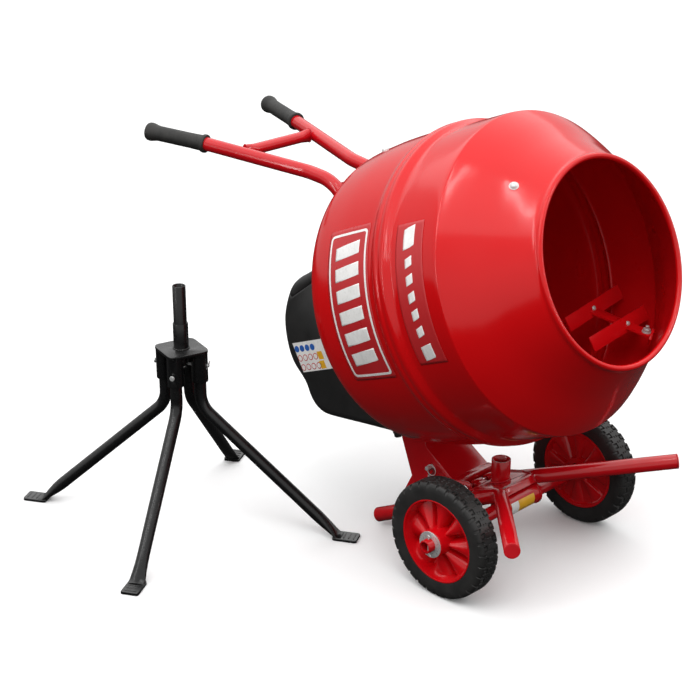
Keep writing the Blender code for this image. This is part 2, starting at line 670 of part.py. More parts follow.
def build_drive():
    def facing(outline, s0, s1):
        return prism(outline, s0, s1, lambda u, v, w: drum_point(u, v, w))

    # front half of the gearbox: a tub with the shaft's bearing bore
    shape = facing(case_outline(0.004), 0.6475, 0.6850)
    case = add_object("gearbox_case", shape, "aluminium", origin=PIVOT)
    shape = facing(case_outline(0.0), 0.6520, 0.7000)
    boolean(case, add_cutter("gearbox_inside", shape), "DIFFERENCE")
    shape = cylinder(drum_point(0, 0, 0.60), drum_point(0, 0, 0.66), SHAFT_R + 0.0006, 20)
    boolean(case, add_cutter("gearbox_bore", shape), "DIFFERENCE")
    shape = cylinder(drum_point(*LAY_CENTRE, 0.60), drum_point(*LAY_CENTRE, 0.66), 0.0056, 14)
    boolean(case, add_cutter("gearbox_lay_bore", shape), "DIFFERENCE")

    # rear lid with the motor's spigot hole
    shape = facing(case_outline(0.004), 0.6853, 0.6903)
    lid = add_object("gearbox_lid", shape, "aluminium", origin=PIVOT)
    shape = cylinder(drum_point(*MOTOR_CENTRE, 0.66), drum_point(*MOTOR_CENTRE, 0.72), 0.0120, 16)
    boolean(lid, add_cutter("lid_motor_hole", shape), "DIFFERENCE")
    shape = cylinder(drum_point(*LAY_CENTRE, 0.66), drum_point(*LAY_CENTRE, 0.72), 0.0056, 14)
    boolean(lid, add_cutter("lid_lay_hole", shape), "DIFFERENCE")

    # countershaft: small pinion in mesh with the output gear, large gear in mesh with the motor
    shaft = 0.0052
    shape = drum_turning([(0, 0.6478), (shaft, 0.6478), (shaft, 0.6900), (0, 0.6900)], LAY_CENTRE, 14)
    lay = add_object("countershaft", shape, "gear_steel", origin=drum_point(*LAY_CENTRE, 0.67))
    pinion = gear_outline(LAY_PINION_T, SLOW_MODULE, math.pi / 2, 0.38, 0.80)
    shape = gear_prism(pinion, LAY_CENTRE, 0.6545, 0.6690)
    boolean(lay, add_cutter("countershaft_pinion", shape), "UNION")
    wheel = gear_outline(LAY_T, FAST_MODULE, MOTOR_ANGLE + math.pi / LAY_T)
    shape = gear_prism(wheel, LAY_CENTRE, 0.6700, 0.6800)
    boolean(lay, add_cutter("countershaft_wheel", shape), "UNION")

    # motor: a can with its front flange, and the rotor with shaft and pinion
    axis = drum_point(0, 0, 1) - drum_point(0, 0, 0)
    base = drum_point(*MOTOR_CENTRE, 0)
    profile = [(0.0080, 0.6906), (0.0500, 0.6906), (0.0500, 0.6980), (0.0450, 0.6990), (0.0450, 0.7700),
               (0.0400, 0.7760), (0.0080, 0.7760), (0.0080, 0.7730), (0.0300, 0.7730), (0.0300, 0.6960),
               (0.0080, 0.6960)]
    shape = revolve(profile, base, axis, 16)
    add_object("motor_body", shape, "aluminium", origin=PIVOT)
    profile = [(0, 0.6690), (0.0040, 0.6690), (0.0065, 0.6810), (0.0065, 0.7010), (0.0285, 0.7030),
               (0.0285, 0.7650), (0.0065, 0.7670), (0.0065, 0.7780), (0, 0.7780)]
    shape = drum_turning(profile, MOTOR_CENTRE, 16)
    rotor = add_object("motor_rotor", shape, "steel", origin=drum_point(*MOTOR_CENTRE, 0.72))
    pinion = gear_outline(PINION_T, FAST_MODULE, MOTOR_ANGLE + math.pi, 0.38, 0.80)
    shape = gear_prism(pinion, MOTOR_CENTRE, 0.6695, 0.6812)
    boolean(rotor, add_cutter("motor_pinion", shape), "UNION")


# ---------------------------------------------------------------- chassis
def rail_path(sign):
    """Centre line of a frame rail: in from the front, a bend over the axle, down to the rear foot."""
    front = Vector((sign * 0.2715, -0.2085, 0.1930))
    knee = Vector((sign * 0.0617, -0.0059, 0.1625))
    foot = Vector((sign * 0.1050, 0.3010, 0.0190))
    return rounded_path([front, knee, foot], 0.035, 4)


def cope(obj, name):
    """Cuts both rails' outsides, with a little air, out of a part that meets them."""
    for sign, side in ((-1, "left"), (1, "right")):
        cutter = add_cutter(name + "_" + side, tube(rail_path(sign), TUBE_R + 0.0004, 14, True))
        boolean(obj, cutter, "DIFFERENCE")


def build_chassis():
    for sign, side in ((-1, "left"), (1, "right")):
        path = rail_path(sign)
        rail = add_object("rail_" + side, tube(path, TUBE_R, 14), "red_paint")
        solidify(rail, 0.002)
        profile = [(0, -0.012), (0.0132, -0.012), (0.0136, 0.0004), (0.0162, 0.0005), (0.0162, 0.0026),
                   (0.0150, 0.0034), (0, 0.0034)]
        shape = revolve(profile, path[0], path[0] - path[1], 18)
        add_object("rail_plug_" + side, shape, "red_plastic")

    shape = pipe((-AXLE_END, 0, AXLE_Z), (AXLE_END, 0, AXLE_Z), AXLE_R, 0.0108, 20)
    add_object("axle_tube", shape, "red_paint")
    bore = AXLE_R + 0.0004
    profile = [(bore, -0.056), (0.0245, -0.056), (0.0245, -0.050), (0.0225, -0.049), (0.0225, 0.049),
               (0.0245, 0.050), (0.0245, 0.056), (bore, 0.056)]
    housing = add_object("axle_housing", revolve(profile, (0, 0, AXLE_Z), (1, 0, 0), 20), "red_paint")
    cope(housing, "housing_cope")

    # bridge: folded plate between the rails, over the housing, with a sloping front flange
    fold = [(-0.0122, 0.1550), (0.0025, 0.1695), (0.0730, 0.1480), (0.0721, 0.1451), (0.0030, 0.1662),
            (-0.0101, 0.1529)]
    bridge = add_object("bridge_plate", side_plate(fold, -0.0680, 0.0680), "red_paint")
    shape = cylinder((0, 0.0455, 0.10), (0, 0.0455, 0.25), 0.0206, 24)
    boolean(bridge, add_cutter("bridge_hole", shape), "DIFFERENCE")
    cope(bridge, "bridge_cope")

    shape = pipe((0, 0.0455, 0.1180), (0, 0.0455, 0.2060), 0.0203, 0.0172, 24)
    add_object("socket_tube", shape, "red_paint")

    for name, x0, x1 in (("pivot_sleeve_left", -0.0370, -0.0080), ("pivot_sleeve_right", 0.0080, 0.0370)):
        shape = pipe((x0, PIVOT.y, PIVOT.z), (x1, PIVOT.y, PIVOT.z), 0.0090, PIVOT_R + 0.0003, 16)
        sleeve = add_object(name, shape, "red_paint")
        shape = box((x0 + 0.0003, 0.0735, 0.1425), (x1 - 0.0003, 0.0848, 0.1478))
        boolean(sleeve, add_cutter(name + "_lug", shape), "UNION")

    # ears that take the lock pin and stand on the rear cross tube
    outline = [(0.2900, 0.0410), (0.2520, 0.1150), (0.2150, 0.1720), (0.1650, 0.1520), (0.1560, 0.1150),
               (0.2000, 0.0700), (0.2350, 0.0410)]
    for name, x0, x1 in (("ear_left", -0.0500, -0.0460), ("ear_right", 0.0460, 0.0500)):
        ear = add_object(name, side_plate(outline, x0, x1), "red_paint")
        if x0 < 0:
            shape = cylinder((-0.1, LOCK.y, LOCK.z), (0.0, LOCK.y, LOCK.z), 0.0054, 12)
            boolean(ear, add_cutter("ear_lock_hole", shape), "DIFFERENCE")
    shape = pipe((-0.0828, 0.2620, 0.0300), (0.0828, 0.2620, 0.0300), 0.0105, 0.0088, 16)
    add_object("rear_cross_tube", shape, "red_paint")

    for sign, side in ((-1, "left"), (1, "right")):
        start = (sign * (WHEEL_OUT + 0.0150), 0, AXLE_Z)
        shape = revolve([(bore, 0), (0.0280, 0), (0.0280, 0.0025), (bore, 0.0025)], start, (sign, 0, 0), 24)
        add_object("washer_" + side, shape, "zinc")


# ---------------------------------------------------------------- wheels
def build_wheels():
    bore = AXLE_R + 0.0004
    width = WHEEL_OUT - WHEEL_IN
    rim = [
        (-0.001, bore), (-0.001, 0.0260), (0.014, 0.0270), (0.016, 0.0640), (0.000, 0.0780),
        (0.000, 0.0888), (0.010, 0.0880), (width - 0.010, 0.0880), (width, 0.0888), (width, 0.0840),
        (width - 0.006, 0.0800), (0.030, 0.0640), (0.030, 0.0330), (width + 0.0145, 0.0275),
        (width + 0.0145, bore),
    ]
    tyre = [
        (0.0010, 0.0895), (-0.0010, 0.1080), (0.0030, 0.1190), (0.0110, 0.1238), (0.0250, 0.1250),
        (width - 0.011, 0.1238), (width - 0.003, 0.1190), (width + 0.001, 0.1080), (width - 0.001, 0.0895),
        (width - 0.010, 0.0884), (0.010, 0.0884),
    ]
    for sign, side in ((-1, "left"), (1, "right")):
        hub = Vector((sign * WHEEL_IN, 0, AXLE_Z))
        for name, profile, mat_name in (("rim_", rim, "red_plastic"), ("tyre_", tyre, "tyre_rubber")):
            shape = revolve([(r, d) for d, r in profile], hub, (sign, 0, 0), 32)
            add_object(name + side, shape, mat_name, origin=hub)


# ---------------------------------------------------------------- lock pin
def build_lock():
    profile = [(0, 0), (0.0050, 0), (0.0050, 0.0225), (0, 0.0225)]
    shape = revolve(profile, (-0.0740, LOCK.y, LOCK.z), (1, 0, 0), 14)
    pin = add_object("lock_pin", shape, "zinc", origin=LOCK)
    shape = cylinder((-0.0710, LOCK.y, LOCK.z - 0.02), (-0.0710, LOCK.y, LOCK.z + 0.02), 0.0021, 8)
    boolean(pin, add_cutter("lock_pin_eye", shape), "DIFFERENCE")
    wire = [(0.0120 + r, d) for r, d in arc((0, 0), 0.0008, 0, 300, 5)]
    shape = revolve(wire, (-0.0710, LOCK.y - 0.0115, LOCK.z), (1, 0, 0), 20)
    add_object("lock_ring", shape, "zinc", origin=LOCK)


# ---------------------------------------------------------------- stand
def stand_point(yaw, rho, z):
    return STAND + Vector((rho * math.cos(yaw), rho * math.sin(yaw), z))


def sweep_rings(path, shape, side, count=12):
    """Rings along a path; shape(k) gives the half width and half height of ring k."""
    rings = []
    for k, point in enumerate(path):
        ahead = path[min(k + 1, len(path) - 1)] - path[max(k - 1, 0)]
        ahead.normalize()
        side = (side - ahead * side.dot(ahead)).normalized()
        up = ahead.cross(side)
        half_w, half_h = shape(k)
        ring = []
        for i in range(count):
            ang = 2 * math.pi * i / count
            ring.append(point + side * (half_w * math.cos(ang)) + up * (half_h * math.sin(ang)))
        rings.append(ring)
    return rings


def build_stand():
    plate_low = STAND_PLATE_Z - 0.006
    corners = []
    for k in range(4):
        yaw = STAND_YAW + k * math.pi / 2
        centre = (STAND.x + 0.0440 * math.cos(yaw), STAND.y + 0.0440 * math.sin(yaw))
        corners += arc(centre, 0.0150, math.degrees(yaw) - 45, math.degrees(yaw) + 45, 3)
    shape = prism(corners, plate_low, STAND_PLATE_Z, lambda u, v, w: Vector((u, v, w)))
    head = add_object("stand_head", shape, "black_paint", origin=STAND)
    for k in range(4):
        yaw = STAND_YAW + k * math.pi / 2
        low = stand_point(yaw, SOCKET_OFFSET, 0.3360)
        high = stand_point(yaw, SOCKET_OFFSET, plate_low + 0.002)
        shape = pipe(low, high, 0.0180, 0.0136, 12)
        boolean(head, add_cutter("stand_socket_%d" % k, shape), "UNION")
    shape = pipe(STAND + Vector((0, 0, plate_low + 0.001)), STAND + Vector((0, 0, 0.4640)), 0.0160, 0.0144, 20)
    boolean(head, add_cutter("stand_collar", shape), "UNION")
    shape = cylinder(STAND + Vector((0, 0, 0.38)), STAND + Vector((0, 0, 0.43)), 0.0144, 20)
    boolean(head, add_cutter("stand_bore", shape), "DIFFERENCE")
    for k, z in ((0, 0.3720), (1, 0.3600)):
        yaw = STAND_YAW + k * math.pi / 2
        shape = cylinder(stand_point(yaw, -0.08, z), stand_point(yaw, 0.08, z), 0.0034, 10)
        boolean(head, add_cutter("stand_pin_hole_%d" % k, shape), "DIFFERENCE")

    shape = pipe(STAND + Vector((0, 0, 0.3700)), STAND + Vector((0, 0, STAND_TOP)), 0.0141, 0.0118, 20)
    spigot = add_object("stand_spigot", shape, "black_paint", origin=STAND)
    for k, z in ((0, 0.3720), (1, 0.3600)):
        yaw = STAND_YAW + k * math.pi / 2
        shape = cylinder(stand_point(yaw, -0.08, z), stand_point(yaw, 0.08, z), 0.0040, 10)
        boolean(spigot, add_cutter("spigot_pin_hole_%d" % k, shape), "DIFFERENCE")

    for k in range(4):
        build_stand_leg(k)

    for k, z in ((0, 0.3720), (1, 0.3600)):
        yaw = STAND_YAW + k * math.pi / 2
        profile = [(0, 0), (0.0055, 0), (0.0055, 0.0030), (0.0030, 0.0032), (0.0030, 0.1240), (0, 0.1240)]
        inward = stand_point(yaw, 0, 0) - stand_point(yaw, 1, 0)
        shape = revolve(profile, stand_point(yaw, 0.0622, z), inward, 10)
        add_object("stand_pin_%s" % "ab"[k], shape, "zinc", origin=STAND)


def build_stand_leg(k):
    yaw = STAND_YAW + k * math.pi / 2
    reach = STAND_REACH[k % 2]
    top = stand_point(yaw, SOCKET_OFFSET, 0.3985)
    elbow = stand_point(yaw, SOCKET_OFFSET, 0.2780)
    toe = stand_point(yaw, reach - 0.045, 0.0050)
    path = rounded_path([top, elbow, toe], 0.060, 4)
    neck = toe - (toe - elbow).normalized() * 0.030
    path = path[:-1] + [neck, toe, stand_point(yaw, reach, 0.0045)]
    side = Vector((-math.sin(yaw), math.cos(yaw), 0))
    last = len(path) - 1

    def outer(i):
        if i == last:
            return 0.0195, 0.0042
        if i == last - 1:
            return 0.0185, 0.0046
        return 0.0130, 0.0130

    shape = loft(sweep_rings(path, outer, side))
    leg = add_object("stand_leg_%d" % (k + 1), shape, "black_paint", origin=STAND)
    hollow = [top + (top - elbow).normalized() * 0.01] + path[1:-2]
    shape = loft(sweep_rings(hollow, lambda i: (0.0112, 0.0112), side))
    boolean(leg, add_cutter("leg_inside_%d" % k, shape), "DIFFERENCE")
    z = 0.3720 if k % 2 == 0 else 0.3600
    shape = cylinder(stand_point(yaw, 0.0, z), stand_point(yaw, 0.09, z), 0.0034, 10)
    boolean(leg, add_cutter("leg_pin_hole_%d" % k, shape), "DIFFERENCE")


# ---------------------------------------------------------------- build
def main():
    clear_scene()
    build_chassis()
    build_wheels()
    build_yoke()
    build_handles()
    build_drive()
    build_cover()
    build_drum()
    cone = math.atan2(0.015, 0.020)
    drum_bolt("cone_bolt_a", 128.8, 0.0630, 0.2436, cone)
    drum_bolt("cone_bolt_b", -51.2, 0.0630, 0.2436, cone)
    drum_bolt("base_bolt_a", 97.0, 0.4800, 0.3178, -math.radians(7))
    drum_bolt("base_bolt_b", -83.0, 0.4800, 0.3178, -math.radians(7))
    build_lock()
    build_stand()


main()
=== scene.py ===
"""Portable drum mixer and its stand: surfaces, trim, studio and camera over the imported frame."""
from math import atan2, copysign, cos, degrees, hypot, pi, radians, sin, sqrt, tan

import bmesh
import bpy
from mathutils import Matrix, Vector


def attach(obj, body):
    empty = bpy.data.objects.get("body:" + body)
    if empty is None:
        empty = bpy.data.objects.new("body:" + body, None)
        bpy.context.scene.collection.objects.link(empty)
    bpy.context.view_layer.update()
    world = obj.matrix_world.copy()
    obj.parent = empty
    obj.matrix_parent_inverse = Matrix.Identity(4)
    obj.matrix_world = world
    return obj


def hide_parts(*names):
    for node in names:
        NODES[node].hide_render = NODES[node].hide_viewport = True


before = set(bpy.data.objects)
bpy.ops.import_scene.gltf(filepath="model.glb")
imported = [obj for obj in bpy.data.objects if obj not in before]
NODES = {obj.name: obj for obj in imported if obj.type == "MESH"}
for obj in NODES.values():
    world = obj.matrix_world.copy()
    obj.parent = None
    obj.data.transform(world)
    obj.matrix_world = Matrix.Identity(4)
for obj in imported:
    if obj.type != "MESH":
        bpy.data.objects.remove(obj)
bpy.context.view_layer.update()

# ---------------------------------------------------------------- dimensions shared with the frame
SHIFT = Vector((0.1831, -0.3387, 0.0))     # from the axle's middle on the floor to the row frame
TILT = radians(21.8)                       # drum axis above the horizontal
SIN = sin(TILT)
COS = cos(TILT)
MOUTH = Vector((0.0, -0.212, 0.708))
AXLE_Z = 0.125
WHEEL_IN = 0.2045
WHEEL_OUT = 0.2545
STAND = Vector((-0.387, 0.615, 0.0))
STAND_YAW = radians(119.6)
STAND_REACH = (0.390, 0.348)
UP = Vector((0, 0, 1))
RIGHT = Vector((1, 0, 0))


def at(x, y, z):
    """Row-frame point from the layout's own coordinates."""
    return Vector((x, y, z)) + SHIFT


def drum_at(x, v, s):
    """Row-frame point from drum coordinates: across, above the axis, behind the mouth."""
    return SHIFT + MOUTH + Vector((x, v * SIN + s * COS, v * COS - s * SIN))


def around(radius, angle, s):
    """Point at an angle (degrees, from the right-hand side) round the drum's axis."""
    a = radians(angle)
    return drum_at(radius * cos(a), radius * sin(a), s)


DRUM_MIDDLE = drum_at(0, 0, 0)
BACKWARD = drum_at(0, 0, 1) - DRUM_MIDDLE

# ---------------------------------------------------------------- camera
camera = bpy.data.objects.new("camera", bpy.data.cameras.new("camera"))
bpy.context.scene.collection.objects.link(camera)
camera.data.lens = 85.97
camera.data.clip_end = 60
azimuth = radians(-45.3)
elevation = radians(22.2)
back = Vector((sin(azimuth) * cos(elevation), -cos(azimuth) * cos(elevation), sin(elevation)))
camera.location = at(-2.476, -1.957, 1.746)
camera.rotation_mode = "QUATERNION"
camera.rotation_quaternion = (-back).to_track_quat("-Z", "Y")
bpy.context.scene.camera = camera


# ---------------------------------------------------------------- materials
def new_material(name):
    mat = bpy.data.materials.new(name)
    mat.use_nodes = True
    return mat, mat.node_tree.nodes, mat.node_tree.links, mat.node_tree.nodes["Principled BSDF"]


def noise_node(nodes, links, coords, scale, detail=3.0, stretch=None):
    vector = coords
    if stretch:
        mapping = nodes.new("ShaderNodeMapping")
        mapping.inputs["Scale"].default_value = stretch
        links.new(coords, mapping.inputs["Vector"])
        vector = mapping.outputs["Vector"]
    tex = nodes.new("ShaderNodeTexNoise")
    tex.inputs["Scale"].default_value = scale
    tex.inputs["Detail"].default_value = detail
    links.new(vector, tex.inputs["Vector"])
    return tex.outputs["Fac"]


def ramp_node(nodes, links, value, stops):
    ramp = nodes.new("ShaderNodeValToRGB")
    ramp.color_ramp.elements[0].position = stops[0][0]
    ramp.color_ramp.elements[0].color = stops[0][1]
    ramp.color_ramp.elements[1].position = stops[-1][0]
    ramp.color_ramp.elements[1].color = stops[-1][1]
    for pos, colour in stops[1:-1]:
        ramp.color_ramp.elements.new(pos).color = colour
    links.new(value, ramp.inputs["Fac"])
    return ramp.outputs["Color"]


def map_range(nodes, links, value, low, high, to_low=0.0, to_high=1.0):
    node = nodes.new("ShaderNodeMapRange")
    for label, number in (("From Min", low), ("From Max", high), ("To Min", to_low), ("To Max", to_high)):
        node.inputs[label].default_value = number
    links.new(value, node.inputs["Value"])
    return node.outputs["Result"]


def add_relief(nodes, links, shader, height, strength, depth):
    relief = nodes.new("ShaderNodeBump")
    relief.inputs["Strength"].default_value = strength
    relief.inputs["Distance"].default_value = depth
    links.new(height, relief.inputs["Height"])
    links.new(relief.outputs["Normal"], shader.inputs["Normal"])


def finish_surface(name, dark, light, rough, metal=0.0, patch=30, grain=500, bump=0.05, depth=0.0003,
                   coat=0.0, specular=0.5, stretch=None):
    """Two-tone surface: cloudy colour, cloudy roughness between two limits, and a fine relief."""
    mat, nodes, links, shader = new_material(name)
    coords = nodes.new("ShaderNodeTexCoord").outputs["Object"]
    tone = noise_node(nodes, links, coords, patch, 4.0, stretch)
    links.new(ramp_node(nodes, links, tone, [(0.35, (*dark, 1)), (0.65, (*light, 1))]),
              shader.inputs["Base Color"])
    wear = noise_node(nodes, links, coords, patch * 5, 5.0, stretch)
    links.new(map_range(nodes, links, wear, 0.3, 0.7, *rough), shader.inputs["Roughness"])
    add_relief(nodes, links, shader, noise_node(nodes, links, coords, grain, 2.0, stretch), bump, depth)
    shader.inputs["Metallic"].default_value = metal
    shader.inputs["Specular IOR Level"].default_value = specular
    shader.inputs["Coat Weight"].default_value = coat
    shader.inputs["Coat Roughness"].default_value = 0.06
    return mat


DRUM_RED = finish_surface(
    "drum_red", (0.560, 0.0024, 0.0040), (0.640, 0.0040, 0.0056), (0.12, 0.18), patch=2, grain=45,
    bump=0.015, depth=0.0005, coat=0.1, specular=0.4)
INNER_RED = finish_surface(
    "drum_inner_red", (0.56, 0.002, 0.005), (0.64, 0.004, 0.007), (0.26, 0.36), patch=4, grain=90,
    bump=0.05, depth=0.0005, specular=0.35)
FRAME_RED = finish_surface(
    "frame_red", (0.52, 0.003, 0.007), (0.57, 0.004, 0.009), (0.13, 0.20), patch=8, grain=180, bump=0.025,
    coat=0.2)
WELD_RED = finish_surface(
    "weld_red", (0.42, 0.001, 0.009), (0.56, 0.004, 0.016), (0.18, 0.34), patch=90, grain=520, bump=0.35,
    depth=0.0006)
RIM_RED = finish_surface(
    "rim_red", (0.60, 0.002, 0.006), (0.68, 0.004, 0.009), (0.18, 0.26), patch=8, grain=320, bump=0.02)
PLUG_RED = finish_surface(
    "plug_red", (0.55, 0.004, 0.010), (0.62, 0.006, 0.014), (0.32, 0.42), patch=30, grain=500, bump=0.08)
STAND_BLACK = finish_surface(
    "stand_black", (0.0045, 0.0045, 0.0048), (0.0075, 0.0075, 0.0078), (0.22, 0.34), patch=16, grain=300,
    bump=0.04, coat=0.15)
WELD_BLACK = finish_surface(
    "weld_black", (0.005, 0.005, 0.005), (0.014, 0.014, 0.014), (0.16, 0.30), patch=120, grain=520,
    bump=0.4, depth=0.0006)
COVER_BLACK = finish_surface(
    "cover_black", (0.010, 0.010, 0.010), (0.018, 0.0175, 0.017), (0.42, 0.55), patch=9, grain=900,
    bump=0.22, depth=0.0005, specular=0.4)
GRIP_BLACK = finish_surface(
    "grip_black", (0.021, 0.021, 0.020), (0.034, 0.033, 0.031), (0.50, 0.64), patch=40, grain=1100,
    bump=0.30, depth=0.0005, specular=0.35)
TYRE_BLACK = finish_surface(
    "tyre_black", (0.017, 0.0165, 0.016), (0.028, 0.027, 0.026), (0.40, 0.52), patch=26, grain=600,
    bump=0.15, depth=0.0004, specular=0.45)
ZINC = finish_surface(
    "zinc_plate", (0.62, 0.63, 0.62), (0.78, 0.79, 0.78), (0.24, 0.38), 0.55, patch=60, grain=700,
    bump=0.15)
CHROME = finish_surface(
    "chrome_rod", (0.72, 0.72, 0.73), (0.86, 0.86, 0.87), (0.05, 0.12), 1.0, patch=30, grain=500,
    bump=0.03, depth=0.0002, stretch=(1, 8, 8))
STEEL = finish_surface(
    "turned_steel", (0.34, 0.34, 0.35), (0.52, 0.52, 0.53), (0.26, 0.42), 1.0, patch=40, grain=800,
    bump=0.12)
CAST = finish_surface(
    "cast_aluminium", (0.46, 0.47, 0.48), (0.62, 0.63, 0.64), (0.42, 0.60), 1.0, patch=20, grain=420,
    bump=0.40, depth=0.0006)
PRINT_WHITE = finish_surface(
    "print_white", (0.80, 0.79, 0.77), (0.90, 0.89, 0.87), (0.24, 0.34), patch=24, depth=0.0002)
FILM_RED = finish_surface(
    "film_red", (0.46, 0.016, 0.020), (0.53, 0.022, 0.026), (0.26, 0.36), patch=8, grain=420, bump=0.08)
LABEL_YELLOW = finish_surface(
    "label_yellow", (0.78, 0.40, 0.02), (0.86, 0.47, 0.03), (0.28, 0.38), depth=0.0002)
LABEL_BLUE = finish_surface("label_blue", (0.02, 0.10, 0.42), (0.03, 0.14, 0.50), (0.28, 0.38), depth=0.0002)
LABEL_RED = finish_surface("label_red", (0.50, 0.02, 0.02), (0.60, 0.03, 0.03), (0.28, 0.38), depth=0.0002)
GREEN = finish_surface(
    "button_green", (0.01, 0.25, 0.05), (0.02, 0.33, 0.08), (0.28, 0.40), patch=60, grain=700, bump=0.06)
STOP_RED = finish_surface(
    "button_red", (0.50, 0.01, 0.01), (0.60, 0.02, 0.02), (0.28, 0.40), patch=60, grain=700, bump=0.06)


def ribbed_film():
    """Clear printed film with fine ribs that run round the drum."""
    mat, nodes, links, shader = new_material("film_ribbed")
    coords = nodes.new("ShaderNodeTexCoord").outputs["UV"]
    wave = nodes.new("ShaderNodeTexWave")
    wave.wave_profile = "SIN"
    wave.bands_direction = "Y"
    wave.inputs["Scale"].default_value = 1.0
    wave.inputs["Distortion"].default_value = 0.0
    links.new(coords, wave.inputs["Vector"])
    colour = ramp_node(nodes, links, wave.outputs["Fac"],
                       [(0.25, (0.44, 0.010, 0.014, 1)), (0.75, (0.55, 0.030, 0.032, 1))])
    links.new(colour, shader.inputs["Base Color"])
    add_relief(nodes, links, shader, wave.outputs["Fac"], 0.25, 0.0003)
    shader.inputs["Roughness"].default_value = 0.30
    return mat


FILM_RIBBED = ribbed_film()


# ---------------------------------------------------------------- mesh helpers
def mirror(v):
    """The same place on the mixer's other side."""
    return Vector((2 * SHIFT.x - v.x, v.y, v.z))


def piece(name, verts, faces, mat, body, hides=(), sharp=35.0, bevel=0.0, wrap=None, flip=False):
    """One object from vertices and faces in the row frame, shaded, painted and riding on a body."""
    if flip:
        verts = [mirror(v) for v in verts]
    mesh = bpy.data.meshes.new(name)
    mesh.from_pydata([tuple(v) for v in verts], [], faces)
    if wrap:
        layer = mesh.uv_layers.new(name="wrap")
        for loop in mesh.loops:
            layer.data[loop.index].uv = wrap[loop.vertex_index]
    bm = bmesh.new()
    bm.from_mesh(mesh)
    bmesh.ops.remove_doubles(bm, verts=bm.verts, dist=1e-6)
    bmesh.ops.recalc_face_normals(bm, faces=bm.faces)
    bm.to_mesh(mesh)
    bm.free()
    mesh.shade_smooth()
    mesh.set_sharp_from_angle(angle=radians(sharp))
    obj = bpy.data.objects.new(name, mesh)
    bpy.context.scene.collection.objects.link(obj)
    mesh.materials.append(mat)
    if bevel:
        add_bevel(obj, bevel)
    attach(obj, body)
    if hides:
        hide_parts(*hides)
    return obj


def add_bevel(obj, width, segments=2):
    mod = obj.modifiers.new("edge", "BEVEL")
    mod.width = width
    mod.segments = segments
    mod.limit_method = "ANGLE"
    mod.angle_limit = radians(38)
    mod.harden_normals = True


def add_wall(obj, thickness, offset):
    mod = obj.modifiers.new("wall", "SOLIDIFY")
    mod.thickness = thickness
    mod.offset = offset


def dress(node, mat, bevel=0.0, sharp=35.0):
    """Paints a CAD node that keeps its shape, softens its edges and smooths its round faces."""
    obj = NODES[node]
    obj.data.materials.clear()
    obj.data.materials.append(mat)
    if bevel:
        obj.modifiers.new("join", "WELD").merge_threshold = 0.00002
        add_bevel(obj, bevel)
    obj.data.shade_smooth()
    obj.data.set_sharp_from_angle(angle=radians(sharp))


def basis(axis, hint=UP):
    axis = Vector(axis).normalized()
    side = Vector(hint).cross(axis)
    if side.length < 1e-6:
        side = Vector((0, 1, 0)).cross(axis)
    side.normalize()
    return side, axis.cross(side), axis


def turned(name, profile, origin, axis, mat, body, segments=48, hides=(), sharp=35.0, hint=UP, closed=True,
           flip=False):
    """Lathe shape: (radius, distance) pairs turned about an axis."""
    u, w, a = basis(axis, hint)
    verts = []
    rings = []
    for radius, dist in profile:
        centre = Vector(origin) + a * dist
        if radius < 1e-7:
            rings.append([len(verts)] * segments)
            verts.append(centre)
            continue
        ring = []
        for i in range(segments):
            ang = 2 * pi * i / segments
            ring.append(len(verts))
            verts.append(centre + (u * cos(ang) + w * sin(ang)) * radius)
        rings.append(ring)
    faces = []
    for k in range(len(rings) if closed else len(rings) - 1):
        r0 = rings[k]
        r1 = rings[(k + 1) % len(rings)]
        for i in range(segments):
            j = (i + 1) % segments
            face = []
            for idx in (r0[i], r0[j], r1[j], r1[i]):
                if idx not in face:
                    face.append(idx)
            if len(face) > 2:
                faces.append(face)
    return piece(name, verts, faces, mat, body, hides, sharp, flip=flip)


def rounded_path(points, radius, steps):
    """Polyline with its corners replaced by arcs."""
    pts = [Vector(p) for p in points]
    path = [pts[0]]
    for prev, here, nxt in zip(pts, pts[1:], pts[2:]):
        d0 = (prev - here).normalized()
        d1 = (nxt - here).normalized()
        half = d0.angle(d1) / 2
        centre = here + (d0 + d1).normalized() * (radius / sin(half))
        a = here + d0 * (radius / tan(half)) - centre
        b = here + d1 * (radius / tan(half)) - centre
        sweep = a.angle(b)
        for i in range(steps + 1):
            t = i / steps
            path.append(centre + (a * sin((1 - t) * sweep) + b * sin(t * sweep)) / sin(sweep))
    path.append(pts[-1])
    return path


def smooth_points(points, steps):
    """Catmull-Rom curve through 2-D or 3-D points."""
    pts = [Vector(p) for p in points]
    out = []
    for k in range(len(pts) - 1):
        p0 = pts[max(k - 1, 0)]
        p1 = pts[k]
        p2 = pts[k + 1]
        p3 = pts[min(k + 2, len(pts) - 1)]
        for i in range(steps):
            t = i / steps
            out.append(0.5 * (2 * p1 + (p2 - p0) * t + (2 * p0 - 5 * p1 + 4 * p2 - p3) * t * t
                              + (3 * p1 - p0 - 3 * p2 + p3) * t ** 3))
    out.append(pts[-1])
    return out


def rings_along(path, shape, sides, side=None):
    """Oval rings along a path; shape(k) gives half width, half height and shift upwards."""
    rings = []
    for k, point in enumerate(path):
        ahead = (path[min(k + 1, len(path) - 1)] - path[max(k - 1, 0)]).normalized()
        side = basis(ahead)[0] if side is None else side
        side = (side - ahead * side.dot(ahead)).normalized()
        up = ahead.cross(side)
        half_w, half_h = shape(k)
        rings.append([point + side * (half_w * cos(2 * pi * i / sides))
                      + up * (half_h * sin(2 * pi * i / sides)) for i in range(sides)])
    return rings


def grid_faces(cols, rows):
    """Four-sided faces over (cols + 1) lines of (rows + 1) vertices."""
    n = rows + 1
    return [[k, k + 1, k + n + 1, k + n] for i in range(cols) for k in range(i * n, i * n + rows)]


